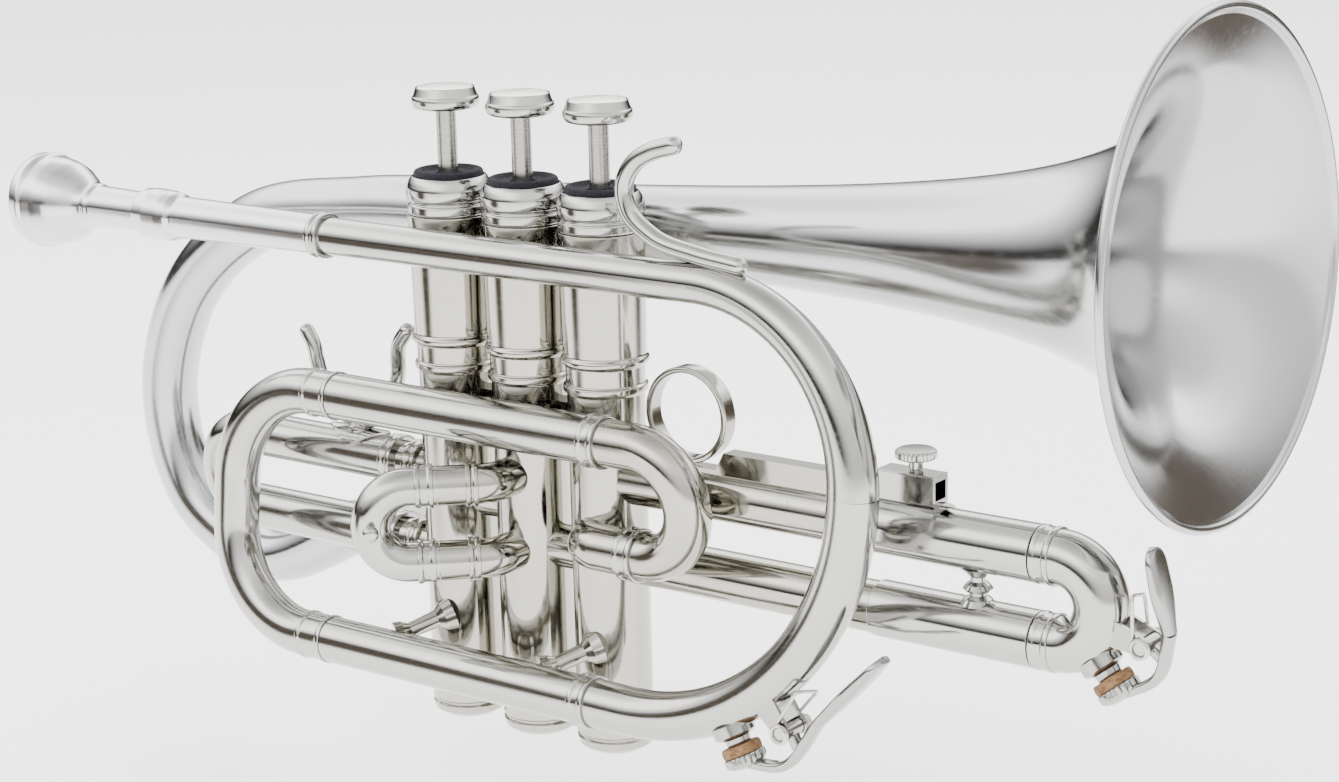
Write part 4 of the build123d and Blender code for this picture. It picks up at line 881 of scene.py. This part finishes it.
def strip_data(route, widths, thickness):
    """Soft-edged bar along a route in the XZ plane, its width along Y changing as it goes."""
    route = clean(route)
    ways, total = directions(route), lengths_along(route)
    points, rings, segments = [], [], 28
    for i, spot in enumerate(route):
        t = total[i] / total[-1]
        width = widths(t)
        thick = thickness(t) if callable(thickness) else thickness
        normal = ways[i].cross(Y).normalized()
        ring = []
        for k in range(segments):
            turn = 2 * pi * k / segments
            across, deep = soft_square(cos(turn), 0.55), soft_square(sin(turn), 0.7)
            ring.append(spot + Y * (width / 2 * across) + normal * (thick / 2 * deep))
        append_ring(points, rings, ring)
    return points, join_capped(rings)


def key_pieces(key, label, body, holder, knee, arm_end, tip, blade_width):
    """Lever with a fluted cup, its cork and its pivot screw."""
    cup = lathe_data(key.cork + key.out * CORK_THICK, key.out, [
        (0.0, 0), (0.0, CUP_R - 0.5), (0.35, CUP_R), (2.0, CUP_R - 0.1), (2.55, CUP_R - 0.6),
        (3.0, CUP_R - 1.5), (3.5, 2.2), (3.6, 0)], soft=0.25, flutes=(0.3, 2.7, 22, 0.42))
    start, knee, end = key.cork + key.out * (CORK_THICK + 2.2), Vector(knee), Vector(arm_end)
    arm = strip_data(spline_points([start, knee, end], per_span=16),
                     lambda t: 4.4 - 0.6 * sin(pi * t), BAR_THICK)
    hub_length = 2 * EAR_GAP - 0.3
    hub = lathe_data(key.pivot - Y * (EAR_GAP - 0.15), Y, [
        (0, PIN_R + 0.03), (0, 2.0), (hub_length, 2.0), (hub_length, PIN_R + 0.03)],
        segments=48, soft=0.2)
    web_end = knee.lerp(end, 0.42)
    web = strip_data([key.pivot, key.pivot.lerp(web_end, 0.5), web_end],
                     lambda t: 3.5 - 0.6 * t, BAR_THICK)
    tip = Vector(tip)
    reach = (tip - end).length
    rounded = blade_width / 2

    def blade_profile(t):
        along = t * reach
        if along > reach - rounded:
            inside = rounded ** 2 - (along - (reach - rounded)) ** 2
            return max(2 * sqrt(max(inside, 0.0)), 0.5)
        grow = min(1.0, along / (reach * 0.5))
        return (BLADE_ROOT_WIDTH
                + (blade_width - BLADE_ROOT_WIDTH) * grow * grow * (3 - 2 * grow))

    blade = strip_data([end.lerp(tip, 1 - (1 - k / 40) ** 1.6) for k in range(41)], blade_profile,
                       lambda t: BAR_THICK + 0.9 * sin(pi * t) - 0.6 * t)
    lever = merged(f"{label}_lever_arm", [cup, arm, hub, web, blade], crease=34)
    dress(lever, body, KEY_PLATE, f"{label}_water_key_lever")
    cork = lathe(f"{label}_cork_pad", key.cork, key.out, [
        (0.0, 0), (0.0, CUP_R - 0.8), (0.25, CUP_R - 0.45), (1.2, CUP_R - 0.25),
        (CORK_THICK, CUP_R - 0.35), (CORK_THICK, 0)], segments=72, soft=0.2)
    dress(cork, body, CORK, f"{label}_water_key_cork", slot="cork")
    edge = EAR_GAP + EAR_THICK
    screw = lathe(f"{label}_pivot_screw", key.pivot - Y * (edge + 1.0), Y, [
        (0, 0), (0, 1.5), (0.25, 1.85), (0.8, 1.9), (1.0, 1.9), (1.0, PIN_R - 0.02),
        (1.0 + 2 * edge, PIN_R - 0.02), (1.0 + 2 * edge, 0)], segments=40, soft=0.2)
    dress(screw, holder, NICKEL, f"{label}_water_key_screw")


front_key = WaterKey((front_low.x, front_back.z), front_low_bend + BOW_R, -23.2014, -63.0,
                     (95.6417, -23.2014, -55.5273))
third_key = WaterKey((THIRD_BOW_X, sum(THIRD_Z) / 2), (THIRD_Z[0] - THIRD_Z[1]) / 2 + THIRD_BOW_R,
                     0.0, -51.0, (177.5188, 0, -25.6976))
key_pieces(front_key, "front", "front_water_key", BODY, (93.4, front_key.y, -65.4),
           (104.0, front_key.y, -52.2), (122.5, front_key.y, -33.0), 8.4)
key_pieces(third_key, "third", "third_water_key", "third_slide", (179.9, 0, -33.2),
           (182.6, 0, -22.5), (178.0, 0, -3.0), 8.0)

COIL_R, COIL_TURNS, COIL_PITCH, COIL_POINTS, WIRE_R = 2.1, 1.75, 0.12, 60, 0.45


def return_spring(name, body, key, shoulders):
    """Wire spring: a coil round the pivot on each side, joined by a bar that rests on the bend."""
    coils, corners = [], []
    for side, (x, z) in zip((-1, 1), shoulders):
        y = key.y + side * (EAR_GAP + EAR_THICK + 0.35)
        corner, centre = Vector((x, y, z)), Vector((key.pivot.x, y, key.pivot.z))
        up = (corner - centre).normalized()
        out = up.cross(Y).normalized()
        turns = [2 * pi * COIL_TURNS * k / COIL_POINTS for k in range(COIL_POINTS + 1)]
        coils.append([centre + (out * cos(a) - up * sin(a)) * COIL_R + Y * (side * COIL_PITCH * a)
                      for a in turns])
        corners.append(corner)
    left, right = coils
    bar = fillet_path([left[0], *corners, right[0]], 1.2, 0.5)
    piece = tube(name, left[:0:-1] + bar + right[1:], WIRE_R, segments=20)
    dress(piece, body, WIRE, slot="spring_steel")


return_spring("front_key_spring", BODY, front_key, ((100.3, -44.1), (100.8, -46.4)))
return_spring("third_key_spring", "third_slide", third_key, ((175.2, -13.6), (174.0, -15.8)))

# ---- CAD nodes kept as they are
# name: material, bevel width in mm
KEPT = {
    "casing_connectors": (VALVE_PLATE, 0.35), "finger_ring_rail": (VALVE_PLATE, 0.35),
    "body_braces": (VALVE_PLATE, 0), "third_slide_brace": (NICKEL, 0), "lyre_box": (NICKEL, 0.35),
    "front_water_key_saddle": (KEY_PLATE, 0.35), "third_water_key_saddle": (KEY_PLATE, 0.35),
    "piston_1": (HONED, 0), "piston_2": (HONED, 0), "piston_3": (HONED, 0),
}
for name, (material, bevel_width) in KEPT.items():
    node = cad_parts[name]
    node.data.materials.clear()
    node.data.materials.append(material)
    for face in node.data.polygons:
        face.use_smooth = True
        face.material_index = 0
    node.data.set_sharp_from_angle(angle=radians(30))
    if bevel_width:
        bevel = node.modifiers.new("edges", "BEVEL")
        bevel.width = bevel_width * MM
        bevel.segments = 3
        bevel.limit_method = "ANGLE"
        bevel.angle_limit = radians(40)
        bevel.harden_normals = True

# ---- floor, light and camera
# From here on lengths are metres.
FLOOR_Z, FLOOR_HALF = -0.125, 8
FLAG_Z = FLOOR_Z + 0.002
CENTRE = Vector((0.02, 0.0, 0.0))


def add_to_scene(name, data):
    thing = bpy.data.objects.new(name, data)
    bpy.context.scene.collection.objects.link(thing)
    return thing


def flat_sheet(name, corners, material):
    mesh = bpy.data.meshes.new(name)
    mesh.from_pydata(corners, [], [(0, 1, 2, 3)])
    mesh.materials.append(material)
    return add_to_scene(name, mesh)


def dark_flag(name, place, width, height):
    """Upright dark flag facing the object that draws dark lines in the plate, unseen itself."""
    place = Vector(place)
    away = Vector((place.x, place.y, 0)).normalized()
    side = Vector((-away.y, away.x, 0)) * (width / 2)
    rise = Vector((0, 0, height))
    corners = [place - side, place + side, place + side + rise, place - side + rise]
    flag = flat_sheet(name, corners, FLAG_CLOTH)
    flat = flag.data.uv_layers.new(name="flat")
    for corner, spot in zip(flat.data, ((0, 0), (1, 0), (1, 1), (0, 1))):
        corner.uv = spot
    flag.visible_camera = False
    return flag


def soft_light(name, place, width, height, power):
    lamp = bpy.data.lights.new(name, "AREA")
    lamp.shape = "RECTANGLE"
    lamp.size, lamp.size_y, lamp.energy = width, height, power
    holder = add_to_scene(name, lamp)
    holder.location = place
    holder.visible_glossy = False
    holder.rotation_mode = "QUATERNION"
    holder.rotation_quaternion = (CENTRE - Vector(place)).to_track_quat("-Z", "Y")
    return holder


PALE_FLOOR = new_material("pale_floor", {"Base Color": grey(0.95), "Roughness": 0.9})[0]
floor = flat_sheet("floor", [(FLOOR_HALF * x, FLOOR_HALF * y, FLOOR_Z)
                             for x, y in ((-1, -1), (1, -1), (1, 1), (-1, 1))], PALE_FLOOR)

# the flags fade out toward their edges, so that they have no hard outline in the plate
FLAG_CLOTH, tree, shader = new_material("dark_flag", {
    "Base Color": (0.05, 0.04, 0.03, 1), "Roughness": 1.0})
where = add(tree, "Mapping", {
    "Vector": add(tree, "TexCoord").outputs["UV"], "Location": (-1.0, -0.6, 0),
    "Scale": (2.0, 1.2, 1)}).outputs["Vector"]
fade = add(tree, "TexGradient", {"Vector": where}, gradient_type="SPHERICAL")
plug(tree, shader, {"Alpha": add(tree, "MapRange", {
    "Value": fade.outputs["Fac"], "From Max": 0.7}, interpolation_type="SMOOTHSTEP"
    ).outputs["Result"]})
flags = [
    dark_flag("left_flag", (-0.30, -0.33, FLAG_Z), width=0.34, height=0.20),
    dark_flag("right_flag", (0.32, 0.40, FLAG_Z), width=0.40, height=0.26),
]

# The sky is dark round the horizon and bright between 29 and 41 degrees up. The room in front
# of the bell is lighter near the horizon than the rest of the studio.
SKY_STOPS = [
    (0.0, grey(0.10)), (0.46, grey(0.03)), (0.495, grey(0.008)), (0.545, (0.010, 0.008, 0.006, 1)),
    (0.575, grey(0.08)), (0.62, grey(0.22)), (0.68, grey(0.5)), (0.74, grey(1.0)),
    (0.83, grey(1.0)), (0.90, grey(0.45)), (1.0, grey(0.22))]
SKY_STRENGTH, ROOM_WAY, ROOM_COLOUR, ROOM_SHARE = 5.0, (0.96, -0.20, 0.15), grey(0.40), 0.85
ROOM_EDGE, ROOM_FULL = 0.12, 0.85
world = bpy.data.worlds.new("studio")
bpy.context.scene.world = world
world.use_nodes = True
tree = world.node_tree
background = next(n for n in tree.nodes if n.type == "BACKGROUND")
where = add(tree, "TexCoord").outputs["Generated"]
height = add(tree, "SeparateXYZ", {"Vector": where}).outputs["Z"]
height = add(tree, "MapRange", {"Value": height, "From Min": -1.0, "From Max": 1.0})
sky = ramp(tree, height.outputs["Result"], SKY_STOPS)
facing = add(tree, "VectorMath", {0: where, 1: ROOM_WAY}, operation="DOT_PRODUCT")
lift = add(tree, "MapRange", {
    "Value": facing.outputs["Value"], "From Min": ROOM_EDGE, "From Max": ROOM_FULL,
    "To Max": ROOM_SHARE}, interpolation_type="SMOOTHSTEP").outputs["Result"]
plug(tree, background, {"Color": mixed(tree, lift, sky, ROOM_COLOUR), "Strength": SKY_STRENGTH})

lamps = [
    soft_light("key_light", (-0.7, -1.0, 1.3), width=1.4, height=0.9, power=34),
    soft_light("top_light", (0.2, 0.2, 1.6), width=1.8, height=1.2, power=42),
    soft_light("fill_light", (1.3, -0.5, 0.6), width=0.8, height=0.8, power=10),
]

AZIMUTH, ELEVATION, ROLL = radians(37.034), radians(14.111), radians(-1.427)
DISTANCE, FOCAL, SENSOR = 0.70789, 76.888, 36.0
LOOK_AT = Vector((0.044769, 0.0, 0.015315))
forward = Vector((-sin(AZIMUTH) * cos(ELEVATION), cos(AZIMUTH) * cos(ELEVATION), -sin(ELEVATION)))
level = Vector((cos(AZIMUTH), sin(AZIMUTH), 0))
upright = level.cross(forward)
right = level * cos(ROLL) + upright * sin(ROLL)
up = upright * cos(ROLL) - level * sin(ROLL)
lens = bpy.data.cameras.new("camera")
lens.sensor_width, lens.lens = SENSOR, FOCAL
camera = bpy.data.objects.new("camera", lens)
camera.matrix_world = Matrix((
    (right.x, up.x, -forward.x, 0), (right.y, up.y, -forward.y, 0),
    (right.z, up.z, -forward.z, 0), (0, 0, 0, 1)))
camera.location = LOOK_AT - forward * DISTANCE
bpy.context.scene.collection.objects.link(camera)
bpy.context.scene.camera = camera
